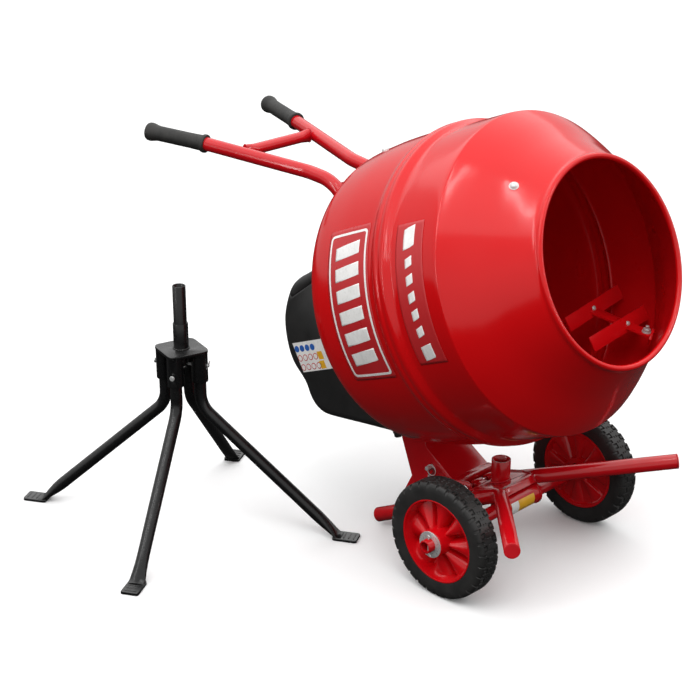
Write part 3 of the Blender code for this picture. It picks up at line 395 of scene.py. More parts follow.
def loft(name, rings, mat, body, hides=(), sharp=35.0, close=False, bevel=0.0, flip=False):
    """Skin through rings of equal count: closed on itself, or with a face over each end."""
    n = len(rings[0])
    verts = [v for ring in rings for v in ring]
    faces = []
    for k in range(len(rings) if close else len(rings) - 1):
        a = k * n
        b = ((k + 1) % len(rings)) * n
        faces += [[a + i, a + (i + 1) % n, b + (i + 1) % n, b + i] for i in range(n)]
    if not close:
        faces.append(list(range(n)))
        faces.append(list(range(len(verts) - n, len(verts))))
    return piece(name, verts, faces, mat, body, hides, sharp, bevel, flip=flip)


def tube(name, path, outer, inner, mat, body, hides=(), sides=32, flip=False):
    """Open-ended pipe with slightly rounded end edges."""
    chamfer = 0.0005
    start = (path[1] - path[0]).normalized() * chamfer
    end = (path[-1] - path[-2]).normalized() * chamfer
    stops = [path[0], path[0] + start] + list(path[1:-1]) + [path[-1] - end, path[-1]]
    last = len(stops) - 1
    wall = rings_along(stops, lambda k: (outer - (chamfer if k in (0, last) else 0),) * 2, sides)
    bore = rings_along(stops, lambda k: (inner,) * 2, sides)
    return loft(name, wall + bore[::-1], mat, body, hides, 50, close=True, flip=flip)


def wire(name, path, radius, mat, body, sides=10):
    """Solid round wire."""
    return loft(name, rings_along(path, lambda k: (radius, radius), sides), mat, body, sharp=60)


def weld_bead(name, path, radius, mat, body, closed=False, pitch=0.0038):
    """Bead of overlapping puddles along a path."""
    dense = []
    for a, b in zip(path, path[1:]):
        count = max(1, int((b - a).length / (pitch / 4)))
        dense += [a.lerp(b, i / count) for i in range(count)]
    dense.append(path[-1])
    ends = len(dense) - 1

    def shape(k):
        swell = 0.78 + 0.22 * abs(sin(pi * k / 4))
        if not closed:
            swell *= min(1.0, 0.35 + min(k, ends - k) / 5)
        return radius * swell, radius * swell
    return loft(name, rings_along(dense, shape, 8), mat, body, sharp=80)


def ring_path(centre, axis, radius, start=0.0, stop=360.0, steps=40, hint=UP):
    u, w, _ = basis(axis, hint)
    out = []
    for i in range(steps + 1):
        a = radians(start + (stop - start) * i / steps)
        out.append(centre + (u * cos(a) + w * sin(a)) * radius)
    return out


def plate_on(name, outline, thick, place, mat, body, bevel=0.0):
    """Flat or wrapped sheet: outline points pushed from 0 to thick through place(u, v, w)."""
    rings = [[place(u, v, lift) for u, v in outline] for lift in (0.0, thick)]
    return loft(name, rings, mat, body, bevel=bevel)


def hex_head(name, centre, axis, across, height, mat, body, stub=0.0):
    """Hexagon with chamfered corners and an optional threaded stub."""
    r = across / sqrt(3)
    u, w, a = basis(axis)
    rings = []
    for scale, h in ((0.94, 0.0), (1.0, 0.12), (1.0, 0.82), (0.90, 1.0)):
        ring = []
        for i in range(12):
            ang = pi * i / 6
            reach = r if i % 2 == 0 else r * cos(pi / 6)
            ring.append(centre + a * (height * h) + (u * cos(ang) + w * sin(ang)) * reach * scale)
        rings.append(ring)
    loft(name, rings, mat, body, sharp=25)
    if stub:
        pitch = 0.0006
        threads = [(0, height * 0.5)]
        for i in range(int(stub / pitch)):
            threads.append((across * (0.29 if i % 2 else 0.26), height + i * pitch))
        threads.append((0, height + stub))
        turned(name + "_thread", threads, centre, axis, mat, body, 20, sharp=80)


# ---------------------------------------------------------------- drum
DRUM_PROFILE = [
    (0.2105, 0.0145), (0.2270, 0.0400), (0.2410, 0.0600), (0.2560, 0.0800), (0.2730, 0.1000),
    (0.2910, 0.1200), (0.3080, 0.1400), (0.3182, 0.1530), (0.3205, 0.1560), (0.3218, 0.1595), (0.3225, 0.1750),
    (0.3225, 0.2300), (0.3225, 0.2700), (0.3260, 0.2800), (0.3320, 0.2890), (0.3330, 0.2965),
    (0.3316, 0.3040), (0.3330, 0.3110), (0.3308, 0.3195), (0.3265, 0.3290), (0.3256, 0.3600),
    (0.3235, 0.4200), (0.3195, 0.4650), (0.3150, 0.5000), (0.3095, 0.5200), (0.3010, 0.5340),
    (0.2880, 0.5430), (0.2720, 0.5470),
]
DRUM_CURVE = [tuple(p) for p in smooth_points(DRUM_PROFILE, 4)]


def drum_radius(s):
    """Outer radius of the drum's wall at a station behind the mouth."""
    for (r0, s0), (r1, s1) in zip(DRUM_CURVE, DRUM_CURVE[1:]):
        if s0 <= s <= s1 and s1 > s0:
            return r0 + (r1 - r0) * (s - s0) / (s1 - s0)
    return DRUM_PROFILE[0][0]


def make_drum():
    curve = DRUM_CURVE
    lip_radius = 0.2030
    lip_wire = 0.0062
    base_hole = 0.0193
    outer = [(lip_radius + lip_wire * cos(radians(a)), 0.0075 + lip_wire * sin(radians(a)))
             for a in range(150, 392, 18)]
    outer += curve + [(base_hole, 0.5402)]
    turned("drum_outer_skin", outer, DRUM_MIDDLE, BACKWARD, DRUM_RED, "drum", 160, ["drum_front", "drum_rear"],
           60, RIGHT, closed=False)

    wall = 0.0022
    inner = []
    for k, (r, s) in enumerate(curve):
        r0, s0 = curve[max(k - 1, 0)]
        r1, s1 = curve[min(k + 1, len(curve) - 1)]
        length = hypot(r1 - r0, s1 - s0)
        inner.append((r - wall * (s1 - s0) / length, s + wall * (r1 - r0) / length))
    lining = [(lip_radius + lip_wire * cos(radians(150)), 0.0106), (0.2070, 0.0160)]
    lining += [p for p in inner if p[1] < 0.272]
    lining += [(0.3180, 0.2735), (0.3168, 0.2745), (0.3168, 0.2765), (0.3180, 0.2775)]
    lining += [p for p in inner if 0.279 < p[1] < 0.5448 and p[0] > 0.28]
    lining += [(0.2720, 0.5440), (base_hole, 0.5376)]
    turned("drum_inner_skin", lining, DRUM_MIDDLE, BACKWARD, INNER_RED, "drum", 160, sharp=50, hint=RIGHT,
           closed=False)

    dome = [(0, 0.0004), (0.0092, 0.0004), (0.0092, 0.0012), (0.0074, 0.0014), (0.0072, 0.0030),
            (0.0060, 0.0046), (0.0040, 0.0058), (0.0018, 0.0064), (0.0014, 0.0052), (0, 0.0050)]
    cone = (0.2434, 0.063, atan2(0.015, 0.020))
    base = (0.3178, 0.48, -radians(7))
    for name, angle, (radius, s, slope) in (("cone_bolt_a", 128.8, cone), ("cone_bolt_b", -51.2, cone),
                                            ("base_bolt_a", 97.0, base), ("base_bolt_b", -83.0, base)):
        out = (around(1, angle, 0) - DRUM_MIDDLE) * cos(slope) - BACKWARD * sin(slope)
        turned(name + "_dome", dome, around(radius, angle, s), out, ZINC, "drum", 32, [name], 30)


def drum_patch(name, outline, lift, mat, cols):
    """Thin print wrapped on the drum: outline in (angle, station), filled on a fine grid."""
    angles, stations = zip(*outline)
    lo_a, hi_a = min(angles), max(angles)
    rows = max(2, int((max(stations) - min(stations)) / 0.004))
    verts = []
    for i in range(cols + 1):
        a = min(max(lo_a + (hi_a - lo_a) * i / cols, lo_a + 1e-4), hi_a - 1e-4)
        hits = [s0 + (s1 - s0) * (a - a0) / (a1 - a0)
                for (a0, s0), (a1, s1) in zip(outline, outline[1:] + outline[:1])
                if (a0 - a) * (a1 - a) <= 0 and abs(a1 - a0) > 1e-9]
        for j in range(rows + 1):
            s = min(hits) + (max(hits) - min(hits)) * j / rows
            verts.append(around(drum_radius(s) + lift, a, s))
    wrap = [((v - DRUM_MIDDLE).dot(BACKWARD) * 60, k // (rows + 1) * 0.9) for k, v in enumerate(verts)]
    obj = piece(name, verts, grid_faces(cols, rows), mat, "drum", sharp=80, wrap=wrap)
    add_wall(obj, 0.00012, 1)


def rounded_rect(a0, a1, s0, s1, corner, steps=5):
    """Outline with round corners; the corner is in metres, angles scale by the drum's radius."""
    ca = degrees(corner / 0.32)
    out = []
    for ax, sx, start in ((a1 - ca, s1 - corner, 0), (a0 + ca, s1 - corner, 90),
                          (a0 + ca, s0 + corner, 180), (a1 - ca, s0 + corner, 270)):
        for i in range(steps + 1):
            t = radians(start + 90 * i / steps)
            out.append((ax + ca * cos(t), sx + corner * sin(t)))
    return out


def dense_outline(outline, parts):
    """Closed outline with each of its sides cut into equal parts."""
    return [Vector(p).lerp(Vector(q), i / parts) for p, q in zip(outline, outline[1:] + outline[:1])
            for i in range(parts)]


def slanted_bar(a, width, s0, s1, lean):
    """Outline of a bar between two stations that leans round the drum by some degrees."""
    return [(a, s0), (a + width, s0), (a + width + lean, s1), (a + lean, s1)]


def make_prints():
    """Plain stand-ins for the drum's prints: a framed badge of bars, and a band of blocks."""
    film_lift = 0.0006
    ink_lift = 0.0009
    drum_patch("badge_film", rounded_rect(144.5, 199.5, 0.337, 0.461, 0.003), film_lift, FILM_RED, 55)
    outer = dense_outline(rounded_rect(146.3, 198.0, 0.343, 0.4555, 0.009), 24)
    inner = dense_outline(rounded_rect(147.2, 197.1, 0.3478, 0.4507, 0.006), 24)
    rings = [[around(drum_radius(s) + lift, a, s) for a, s in ring]
             for ring, lift in ((outer, ink_lift), (outer, 0.0011), (inner, 0.0011), (inner, ink_lift))]
    loft("badge_outline", rings, PRINT_WHITE, "drum", sharp=80, close=True)
    for k in range(6):
        bar = slanted_bar(149.9 + k * 7.55, 4.7, 0.3640, 0.4350, 1.4)
        drum_patch("badge_bar_%d" % (k + 1), bar, ink_lift, PRINT_WHITE, 8)
    drum_patch("band_film", slanted_bar(147.5, 49.0, 0.1900, 0.2630, 0), film_lift, FILM_RIBBED, 49)
    for name, a, width in (("band_bar_top", 148.5, 7.4), ("band_bar_low", 189.0, 5.2)):
        drum_patch(name, slanted_bar(a, width, 0.2130, 0.2420, 1.1), ink_lift, PRINT_WHITE, 12)
    for k in range(5):
        dash = slanted_bar(159.0 + k * 5.9, 3.2, 0.2190, 0.2370, 1.1)
        drum_patch("band_dash_%d" % (k + 1), dash, ink_lift, PRINT_WHITE, 8)


def make_paddles():
    for side, turn in (("a", 0.0), ("b", pi)):
        dress("paddle_" + side, INNER_RED, 0.0006)

        def spot(x, v, s):
            return drum_at(x * cos(turn) - v * sin(turn), x * sin(turn) + v * cos(turn), s)

        foot = spot(0.1990, -0.1880, 0.1180)
        along = (spot(0.1860, -0.1120, 0.2500) - foot).normalized()
        wide = spot(1, 0, 0) - spot(0, 0, 0)
        face = along.cross(wide).normalized()
        if face.dot(BACKWARD) > 0:
            face = -face
        nut = foot + along * 0.0130
        washer = [(0, 0.0026), (0.0098, 0.0026), (0.0098, 0.0042), (0, 0.0042)]
        turned("paddle_washer_" + side, washer, nut, face, ZINC, "drum", 28)
        hex_head("paddle_nut_" + side, nut + face * 0.0042, face, 0.0140, 0.0066, ZINC, "drum", 0.0070)
        dome = [(0, 0), (0.0056, 0), (0.0054, 0.0014), (0.0036, 0.0030), (0, 0.0036)]
        for k, (x, v, s) in enumerate(((0.1935, -0.1560, 0.1650), (0.1870, -0.1130, 0.2370))):
            turned("paddle_rivet_%s%d" % (side, k + 1), dome, spot(x, v, s), -BACKWARD, ZINC, "drum", 20)


# ---------------------------------------------------------------- frame
def make_chassis():
    front = at(-0.2715, -0.2085, 0.1930)
    knee = at(-0.0617, -0.0059, 0.1625)
    path = rounded_path([front, knee, at(-0.1050, 0.3010, 0.0190)], 0.035, 10)
    axis = (front - knee).normalized()
    plug = [(0, -0.012), (0.0132, -0.012), (0.0136, 0.0004), (0.0158, 0.0005), (0.0158, 0.0010),
            (0.0162, 0.0012), (0.0162, 0.0024), (0.0158, 0.0030), (0.0150, 0.0033), (0.0120, 0.0032),
            (0, 0.0031)]
    for side, flip in (("left", False), ("right", True)):
        tube("rail_" + side + "_tube", path, 0.016, 0.0138, FRAME_RED, "chassis", ["rail_" + side], 36, flip)
        turned("rail_" + side + "_cap", plug, front, axis, PLUG_RED, "chassis", 40, ["rail_plug_" + side],
               flip=flip)
    tube("axle_pipe", [at(x, 0, AXLE_Z) for x in (-0.287, -0.1, 0.1, 0.287)], 0.0140, 0.0108, FRAME_RED,
         "chassis", ["axle_tube"], 40)
    housing = [(0.0144, -0.056), (0.0242, -0.056), (0.0247, -0.0554), (0.0247, -0.0506), (0.0240, -0.0500),
               (0.0225, -0.0494)]
    housing += [(r, -x) for r, x in housing[::-1]]
    turned("housing_barrel", housing, at(0, 0, AXLE_Z), RIGHT, FRAME_RED, "chassis", 56, ["axle_housing"], 40)
    socket = [(0.0172, 0), (0.0198, 0), (0.0203, 0.0005), (0.0203, 0.0875), (0.0199, 0.0880), (0.0178, 0.0880),
              (0.0172, 0.0874)]
    turned("socket_pipe", socket, at(0, 0.0455, 0.1180), UP, FRAME_RED, "chassis", 56, ["socket_tube"], 50)
    tube("foot_cross_pipe", [at(x, 0.262, 0.030) for x in (-0.0828, -0.03, 0.03, 0.0828)], 0.0105, 0.0088,
         FRAME_RED, "chassis", ["rear_cross_tube"])
    for node, edge in (("bridge_plate", 0.0009), ("pivot_sleeve_left", 0.0006), ("pivot_sleeve_right", 0.0006),
                       ("ear_left", 0.0008), ("ear_right", 0.0008)):
        dress(node, FRAME_RED, edge)

    bridge_normal = Vector((0, 0.2917, 0.9565))
    seat = [(0.0497, 0.0025, 0.1698), (0.0554, 0.0200, 0.1646), (0.0597, 0.0320, 0.1609),
            (0.0642, 0.0400, 0.1584)]
    socket_seat = at(0, 0.0455, 0.1568)
    weld_bead("weld_socket", ring_path(socket_seat, bridge_normal, 0.0212), 0.0017, WELD_RED, "chassis", True)
    for side, sign in (("left", -1), ("right", 1)):
        flange = [at(sign * 0.0492, 0.0015, 0.1690), at(sign * 0.0462, -0.0128, 0.1548)]
        sleeve = [at(sign * 0.009, 0.0734, 0.1480), at(sign * 0.036, 0.0734, 0.1480)]
        ear = ring_path(at(sign * 0.0480, 0.262, 0.030), RIGHT, 0.0112, 0, 200, 20)
        foot = ring_path(at(sign * 0.0834, 0.262, 0.030), RIGHT, 0.0112)
        bridge = [at(sign * x, y, z) for x, y, z in seat]
        for name, route, radius, closed in (
                ("bridge", bridge, 0.0019, False), ("flange", flange, 0.0019, False),
                ("sleeve", sleeve, 0.0014, False), ("ear", ear, 0.0013, False), ("foot", foot, 0.0013, True)):
            weld_bead("weld_%s_%s" % (name, side), route, radius, WELD_RED, "chassis", closed)
        hub_washer(side, sign)
    make_axle_label()


def hub_washer(side, sign):
    """Plated washer and split pin outside the wheel."""
    start = at(sign * (WHEEL_OUT + 0.0150), 0, AXLE_Z)
    axis = Vector((sign, 0, 0))
    profile = [(0.0144, 0), (0.0276, 0), (0.0280, 0.0004), (0.0280, 0.0021), (0.0276, 0.0025), (0.0148, 0.0025),
               (0.0144, 0.0021)]
    turned("hub_washer_" + side, profile, start, axis, ZINC, "chassis", 56, ["washer_" + side], 40)
    x = sign * (WHEEL_OUT + 0.0215)
    leg_a = at(x - 0.0010, 0.0, AXLE_Z - 0.0165)
    leg_b = at(x + 0.0010, 0.0, AXLE_Z - 0.0165)
    route = [leg_a + Vector((0, -0.0075, -0.0055)), leg_a, at(x - 0.0008, -0.0006, AXLE_Z + 0.0155)]
    for t in range(-40, 221, 20):
        a = radians(t)
        route.append(at(x, -0.0030 * cos(a), AXLE_Z + 0.0188 + 0.0030 * sin(a)))
    route += [at(x + 0.0008, 0.0006, AXLE_Z + 0.0155), leg_b, leg_b + Vector((0, 0.0075, -0.0055))]
    wire("split_pin_" + side, route, 0.0013, ZINC, "chassis")


def make_axle_label():
    """Plain stickers wrapped on the front of the axle housing."""
    low = 0.0227
    high = 0.0230
    top = 0.0232
    steps = 14

    def place(x, deg, r):
        a = radians(deg)
        return at(x, -r * cos(a), AXLE_Z + r * sin(a))

    for name, x0, x1, mat in (("label_white", -0.0420, -0.0190, PRINT_WHITE),
                              ("label_yellow", -0.0185, 0.0320, LABEL_YELLOW)):
        rings = []
        for i in range(steps + 1):
            deg = -34 + 68 * i / steps
            rings.append([place(x, deg, r) for x, r in ((x0, low), (x1, low), (x1, high), (x0, high))])
        loft(name, rings, mat, "chassis", sharp=60)
    for k, x in enumerate((-0.0060, 0.0190)):
        corners = ((x - 0.0095, -22), (x + 0.0095, -22), (x, 20))
        rings = [[place(across, deg, r) for across, deg in corners] for r in (high, top)]
        loft("label_mark_%d" % (k + 1), rings, TYRE_BLACK, "chassis", sharp=60)


# ---------------------------------------------------------------- wheels
def tyre_radius(turn, across):
    """Outer radius of the tread at a turn (0 to 1 round the wheel) and a place across it (-1 to 1)."""
    edge = abs(across)
    base = 0.1249 - 0.0048 * max(0.0, (edge - 0.62) / 0.38) ** 2.2
    blocks = 30
    off = abs((turn * blocks + (0.5 if across > 0 else 0.0)) % 1 - 0.5)
    groove = 0.0
    if 0.34 < edge < 0.74 and (0.14 < off < 0.24 or edge < 0.42 and off < 0.24):
        groove = 1.0
    if edge > 0.60 and off > 0.40:
        groove = 1.0
    if edge < 0.20:
        groove = 0.5 if abs(turn * blocks * 2 % 1 - 0.5) < 0.16 and 0.06 < edge < 0.18 else 0.0
    return base - 0.0036 * groove


def spoke_place(r, turn, hub_width, width_growth):
    """How far out a place is between hub (0) and bead seat (1), and across its rib (under 1 is on the rib)."""
    spokes = 8
    hub = 0.0290
    u = min(max((r - hub) / (0.0790 - hub), 0.0), 1.0)
    off = ((turn * spokes + 0.5) % 1 - 0.5) * 2 * pi / spokes
    return u, off * r / (hub_width + width_growth * u)


def face_depth(r, turn):
    """Distance of the rim's dished outer face from the wheel's middle plane, outwards positive."""
    u, arc = spoke_place(r, turn, 0.0085, 0.0190)
    dish = -0.0075 - 0.004 * sin(pi * u)
    crest = 0.0225 - 0.0105 * u
    return dish + (crest - dish) * sqrt(max(0.0, 1 - arc * arc)) * 0.92


def inner_depth(r, turn):
    """Distance of the rim's inner face from the wheel's middle plane, inwards positive."""
    u, arc = spoke_place(r, turn, 0.0060, 0.0130)
    return 0.0155 + (0.0085 - 0.0030 * u) * sqrt(max(0.0, 1 - arc * arc))


def make_wheel(side, sign):
    centre = at(sign * (WHEEL_IN + WHEEL_OUT) / 2, 0, AXLE_Z)
    half = (WHEEL_OUT - WHEEL_IN) / 2

    def wheel_part(name, section, turns, mat, hides, sharp):
        """Ring whose section, (radius, distance outwards) pairs, depends on the turn."""
        rings = []
        for i in range(turns):
            ang = 2 * pi * i / turns
            radial = Vector((0, cos(ang), sin(ang)))
            rings.append([centre + radial * r + RIGHT * (sign * x) for r, x in section(i / turns)])
        loft(name, rings, mat, "wheel_" + side, hides, sharp, close=True)

    def tyre_section(turn):
        rows = 40
        bead = [(0.0884, half - 0.010), (0.0893, half), (0.0960, half + 0.0009), (0.1060, half + 0.0010)]
        tread = []
        for j in range(rows + 1):
            across = -1 + 2 * j / rows
            shoulder = max(0.0, (abs(across) - 0.86) / 0.14)
            x = across * (half + 0.0008) if shoulder < 1 else copysign(half + 0.0010, across)
            tread.append((tyre_radius(turn, across) - 0.0035 * shoulder ** 2, x))
        return [(r, -x) for r, x in bead] + tread + bead[::-1]

    def rim_section(turn):
        stations = 34
        inner = [0.0275 + (0.0790 - 0.0275) * j / stations for j in range(stations + 1)]
        outer = [0.0800 + (0.0300 - 0.0800) * j / stations for j in range(stations + 1)]
        section = [(0.0144, -half - 0.0009), (0.0262, -half - 0.0009), (0.0268, -half + 0.0010)]
        section += [(r, -inner_depth(r, turn)) for r in inner]
        section += [(0.0815, -half + 0.0030), (0.0830, -half + 0.0004), (0.0880, -half),
                    (0.0888, -half + 0.001), (0.0882, -half + 0.010), (0.0880, half - 0.010),
                    (0.0888, half - 0.001), (0.0886, half - 0.0002), (0.0872, half + 0.0004), (0.0856, half - 0.0003),
                    (0.0850, half - 0.0030), (0.0835, half - 0.0120)]
        section += [(r, face_depth(r, turn)) for r in outer]
        section += [(0.0294, half - 0.0020), (0.0280, half + 0.0120), (0.0276, half + 0.0138),
                    (0.0268, half + 0.0145), (0.0144, half + 0.0145)]
        return section
    wheel_part("tyre_" + side + "_tread", tyre_section, 600, TYRE_BLACK, ["tyre_" + side], 42)
    wheel_part("rim_" + side + "_moulding", rim_section, 240, RIM_RED, ["rim_" + side], 50)


# ---------------------------------------------------------------- yoke, handles, lock
def make_yoke():
    dress("yoke", FRAME_RED, 0.0010)
    dress("pivot_rod", CHROME, 0.0004)
    # stitched weld along the web's edge and the fixing bolts low on the web
    for k in range(6):
        v0 = -0.150 - k * 0.034
        a = drum_at(-0.0440, v0, 0.5768)
        b = drum_at(-0.0450, v0 - 0.016, 0.5768)
        weld_bead("weld_web_%d" % (k + 1), [a, b], 0.0016, WELD_RED, "tilt_frame")
    for k, (x, v) in enumerate(((-0.030, -0.245), (0.030, -0.245), (-0.030, 0.10), (0.030, 0.10))):
        hex_head("web_bolt_%d" % (k + 1), drum_at(x, v, 0.5778), -BACKWARD, 0.0100, 0.0050, FRAME_RED,
                 "tilt_frame")


def make_handles():
    corner = drum_at(0.0615, 0.2698, 0.612)
    low = drum_at(0.0652, 0.030, 0.612)
    bend = at(0.0665, 0.5520, 0.7415)
    grip_in = at(0.1385, 0.8060, 0.7688)
    grip_end = at(0.1800, 0.9430, 0.7785)
    bent = rounded_path([low, corner, bend, grip_in], 0.100, 16)
    path = bent[:-1] + [grip_in, grip_end]
    axis = (grip_end - grip_in).normalized()
    length = (grip_end - grip_in).length
    grip = [(0.0155, -0.0020), (0.0190, -0.0020), (0.0203, -0.0012), (0.0207, 0.0005), (0.0208, 0.0035),
            (0.0202, 0.0060), (0.0188, 0.0078), (0.0180, 0.0100)]
    ribs = 26
    for i in range(ribs * 2 + 1):
        d = 0.0130 + (length - 0.034) * i / (ribs * 2)
        grip.append((0.0178 - 0.0006 * min(1.0, i / 12) - 0.00018 * (i % 2), d))
    grip += [(0.0176, length - 0.0170), (0.0185, length - 0.0120), (0.0200, length - 0.0060), (0.0208, length),
             (0.0204, length + 0.0050), (0.0190, length + 0.0080), (0.0160, length + 0.0100),
             (0.0150, length + 0.0104), (0.0146, length + 0.0098), (0, length + 0.0098), (0, length + 0.0005),
             (0.0155, length + 0.0005)]
    for side, flip in (("right", False), ("left", True)):
        tube("handle_" + side + "_tube", path, 0.0152, 0.0132, FRAME_RED, "tilt_frame",
             ["handle_" + side], 36, flip)
        turned("grip_" + side + "_sleeve", grip, grip_in, axis, GRIP_BLACK, "tilt_frame", 56,
               ["grip_" + side], 32, flip=flip)
    # brace with its ends pressed flat against the handles
    mid = bend.lerp(grip_in, 0.665)
    reach = mid.x - SHIFT.x - 0.0152 / cos(radians(15.8)) - 0.0006
    half = [0.4, 0.70, 0.80, 0.87, 0.93, 0.97, 1.0]
    stations = [-t for t in half[::-1]] + [0.0] + half
    points = [Vector((SHIFT.x + reach * t, mid.y, mid.z)) for t in stations]

    def shape(k):
        press = min(1.0, max(0.0, (abs(stations[k]) - 0.68) / 0.29))
        press = press * press * (3 - 2 * press)
        return 0.0125 - 0.0052 * press, 0.0125 + 0.0030 * press
    loft("brace_tube", rings_along(points, shape, 36), FRAME_RED, "tilt_frame", ["handle_brace"], 40)
    for side, sign in (("left", -1), ("right", 1)):
        loop = [Vector((SHIFT.x + sign * (reach - 0.0006), mid.y + 0.0080 * cos(radians(t)),
                        mid.z + 0.0158 * sin(radians(t)))) for t in range(0, 361, 15)]
        weld_bead("weld_brace_" + side, loop, 0.0015, WELD_RED, "tilt_frame", True)


def make_lock():
    y = 0.190
    z = 0.158
    pin = [(0, 0), (0.0044, 0), (0.0050, 0.0008), (0.0050, 0.0215), (0.0040, 0.0225), (0, 0.0225)]
    turned("lock_plunger", pin, at(-0.0740, y, z), RIGHT, ZINC, "lock_pin", 32, ["lock_pin"], 30)
    centre = at(-0.0710, y - 0.0115, z)
    turns = 40
    radius = 0.0120
    gauge = 0.0009
    rings = []
    for i in range(turns):
        a = 2 * pi * i / turns
        out = Vector((0, cos(a), sin(a)))
        rings.append([centre + out * (radius + gauge * cos(pi * k / 4))
                      + RIGHT * (gauge * sin(pi * k / 4)) for k in range(8)])
    loft("lock_split_ring", rings, ZINC, "lock_pin", ["lock_ring"], 60, close=True)
    # short black lanyard from the flange to the ring, with a plated crimp
    points = smooth_points([at(-0.0640, y + 0.004, z - 0.034), at(-0.0680, y - 0.002, z - 0.026),
                            at(-0.0690, y - 0.003, z - 0.014), at(-0.0725, y - 0.008, z - 0.002),
                            at(-0.0735, y - 0.016, z + 0.006), at(-0.0725, y - 0.021, z + 0.001),
                            at(-0.0700, y - 0.014, z - 0.008), at(-0.0690, y - 0.005, z - 0.014)], 6)
    wire("lanyard_loop", points, 0.0011, TYRE_BLACK, "tilt_frame")
    crimp = [(0, 0), (0.0022, 0), (0.0026, 0.0008), (0.0026, 0.0072), (0.0022, 0.008), (0, 0.008)]
    turned("lanyard_crimp", crimp, at(-0.0684, y - 0.003, z - 0.023), Vector((-0.10, -0.05, 1)), ZINC,
           "tilt_frame", 20)


# ---------------------------------------------------------------- motor cover
COVER_OUTLINE = [
    (0.5600, -0.262), (0.6550, -0.2365), (0.7230, -0.2190), (0.7650, -0.2070), (0.7850, -0.1950),
    (0.7980, -0.1780), (0.8050, -0.1560), (0.8090, -0.1250), (0.8300, -0.0780), (0.8320, -0.0300),
    (0.8200, 0.0200), (0.7980, 0.0560), (0.7700, 0.0850), (0.7400, 0.1000), (0.6950, 0.1100), (0.5600, 0.1420),
]


def shrink(outline, inset):
    """Moves an anticlockwise open outline's points inwards."""
    out = []
    n = len(outline)
    for i in range(n):
        p = Vector(outline[i])
        before = Vector(outline[max(i - 1, 0)])
        after = Vector(outline[min(i + 1, n - 1)])
        along = (after - before).normalized()
        out.append((p.x - along.y * inset, p.y + along.x * inset))
    return out


def make_cover():
    curve = [tuple(p) for p in smooth_points(COVER_OUTLINE, 4)]
    half = 0.150
    edge = 0.020
    fold = 0.5600
    seam = next(k for k, (s, v) in enumerate(curve) if v > 0.0605 + (0.845 - s) * 0.2150)

    def shell(name, part, node, end):
        """Tray over part of the outline: rounded side edges, flat sides closed back to the fold."""
        steps = 7
        sections = []
        for i in range(steps + 1):
            t = radians(90 * i / steps)
            sections.append((-half + edge - edge * cos(t), edge - edge * sin(t)))
        sections += [(-x, inset) for x, inset in sections[::-1]]
        verts = [drum_at(x, v, s) for x, inset in sections for s, v in shrink(part, inset)]
        n = len(part)
        faces = grid_faces(len(sections) - 1, n - 1)
        total = len(verts)
        verts += [drum_at(-half, end, fold), drum_at(half, end, fold)]
        faces.append(list(range(n)) + [total])
        faces.append(list(range(total - n, total)) + [total + 1])
        add_wall(piece(name, verts, faces, COVER_BLACK, "tilt_frame", [node], 40), 0.003, -1)
    shell("cover_tub", curve[:seam + 1], "cover_lower", 0.1215)
    shell("cover_hood", [(s, v + 0.0006) for s, v in curve[seam:]], "cover_upper", 0.1227)
    for node, mat, soft in (("switch_box", COVER_BLACK, 0.0012), ("start_button", GREEN, 0.0010),
                            ("stop_button", STOP_RED, 0.0010), ("cable_gland", COVER_BLACK, 0.0004)):
        dress(node, mat, soft)


def make_stickers():
    """Blank instruction sticker on the cover's left side: plain panels and dots only."""
    def layer(name, outline, low, high, mat):
        plate_on(name, outline, high, lambda s, v, w: drum_at(-0.1503 - max(w, low), v, s), mat, "tilt_frame")

    def disc(name, s, v, radius, low, high, mat):
        turns = [radians(a) for a in range(0, 360, 20)]
        layer(name, [(s + radius * cos(a), v + radius * sin(a)) for a in turns], low, high, mat)
    label = [(0.6900, -0.1035), (0.7940, -0.1035), (0.8050, -0.0360), (0.6900, -0.0360)]
    layer("cover_label", label, 0, 0.0003, PRINT_WHITE)
    for k, v in enumerate((-0.0800, -0.1010)):
        block = [(0.7150, v), (0.7310, v), (0.7340, v + 0.0180), (0.7180, v + 0.0180)]
        layer("cover_label_block_%d" % (k + 1), block, 0.00032, 0.0005, LABEL_YELLOW)
    for row, v in enumerate((-0.0505, -0.0717, -0.0929)):
        for column in range(4):
            s = 0.7950 - 0.0030 * row - 0.0172 * column
            name = "cover_label_dot_%d%d" % (row + 1, column + 1)
            disc(name, s, v, 0.0074, 0.00032, 0.0005, LABEL_RED if row else LABEL_BLUE)
            if row:
                disc(name + "_middle", s, v, 0.0056, 0.00052, 0.0007, PRINT_WHITE)


# ---------------------------------------------------------------- stand
def stand_at(yaw, rho, z):
    return SHIFT + STAND + Vector((rho * cos(yaw), rho * sin(yaw), z))


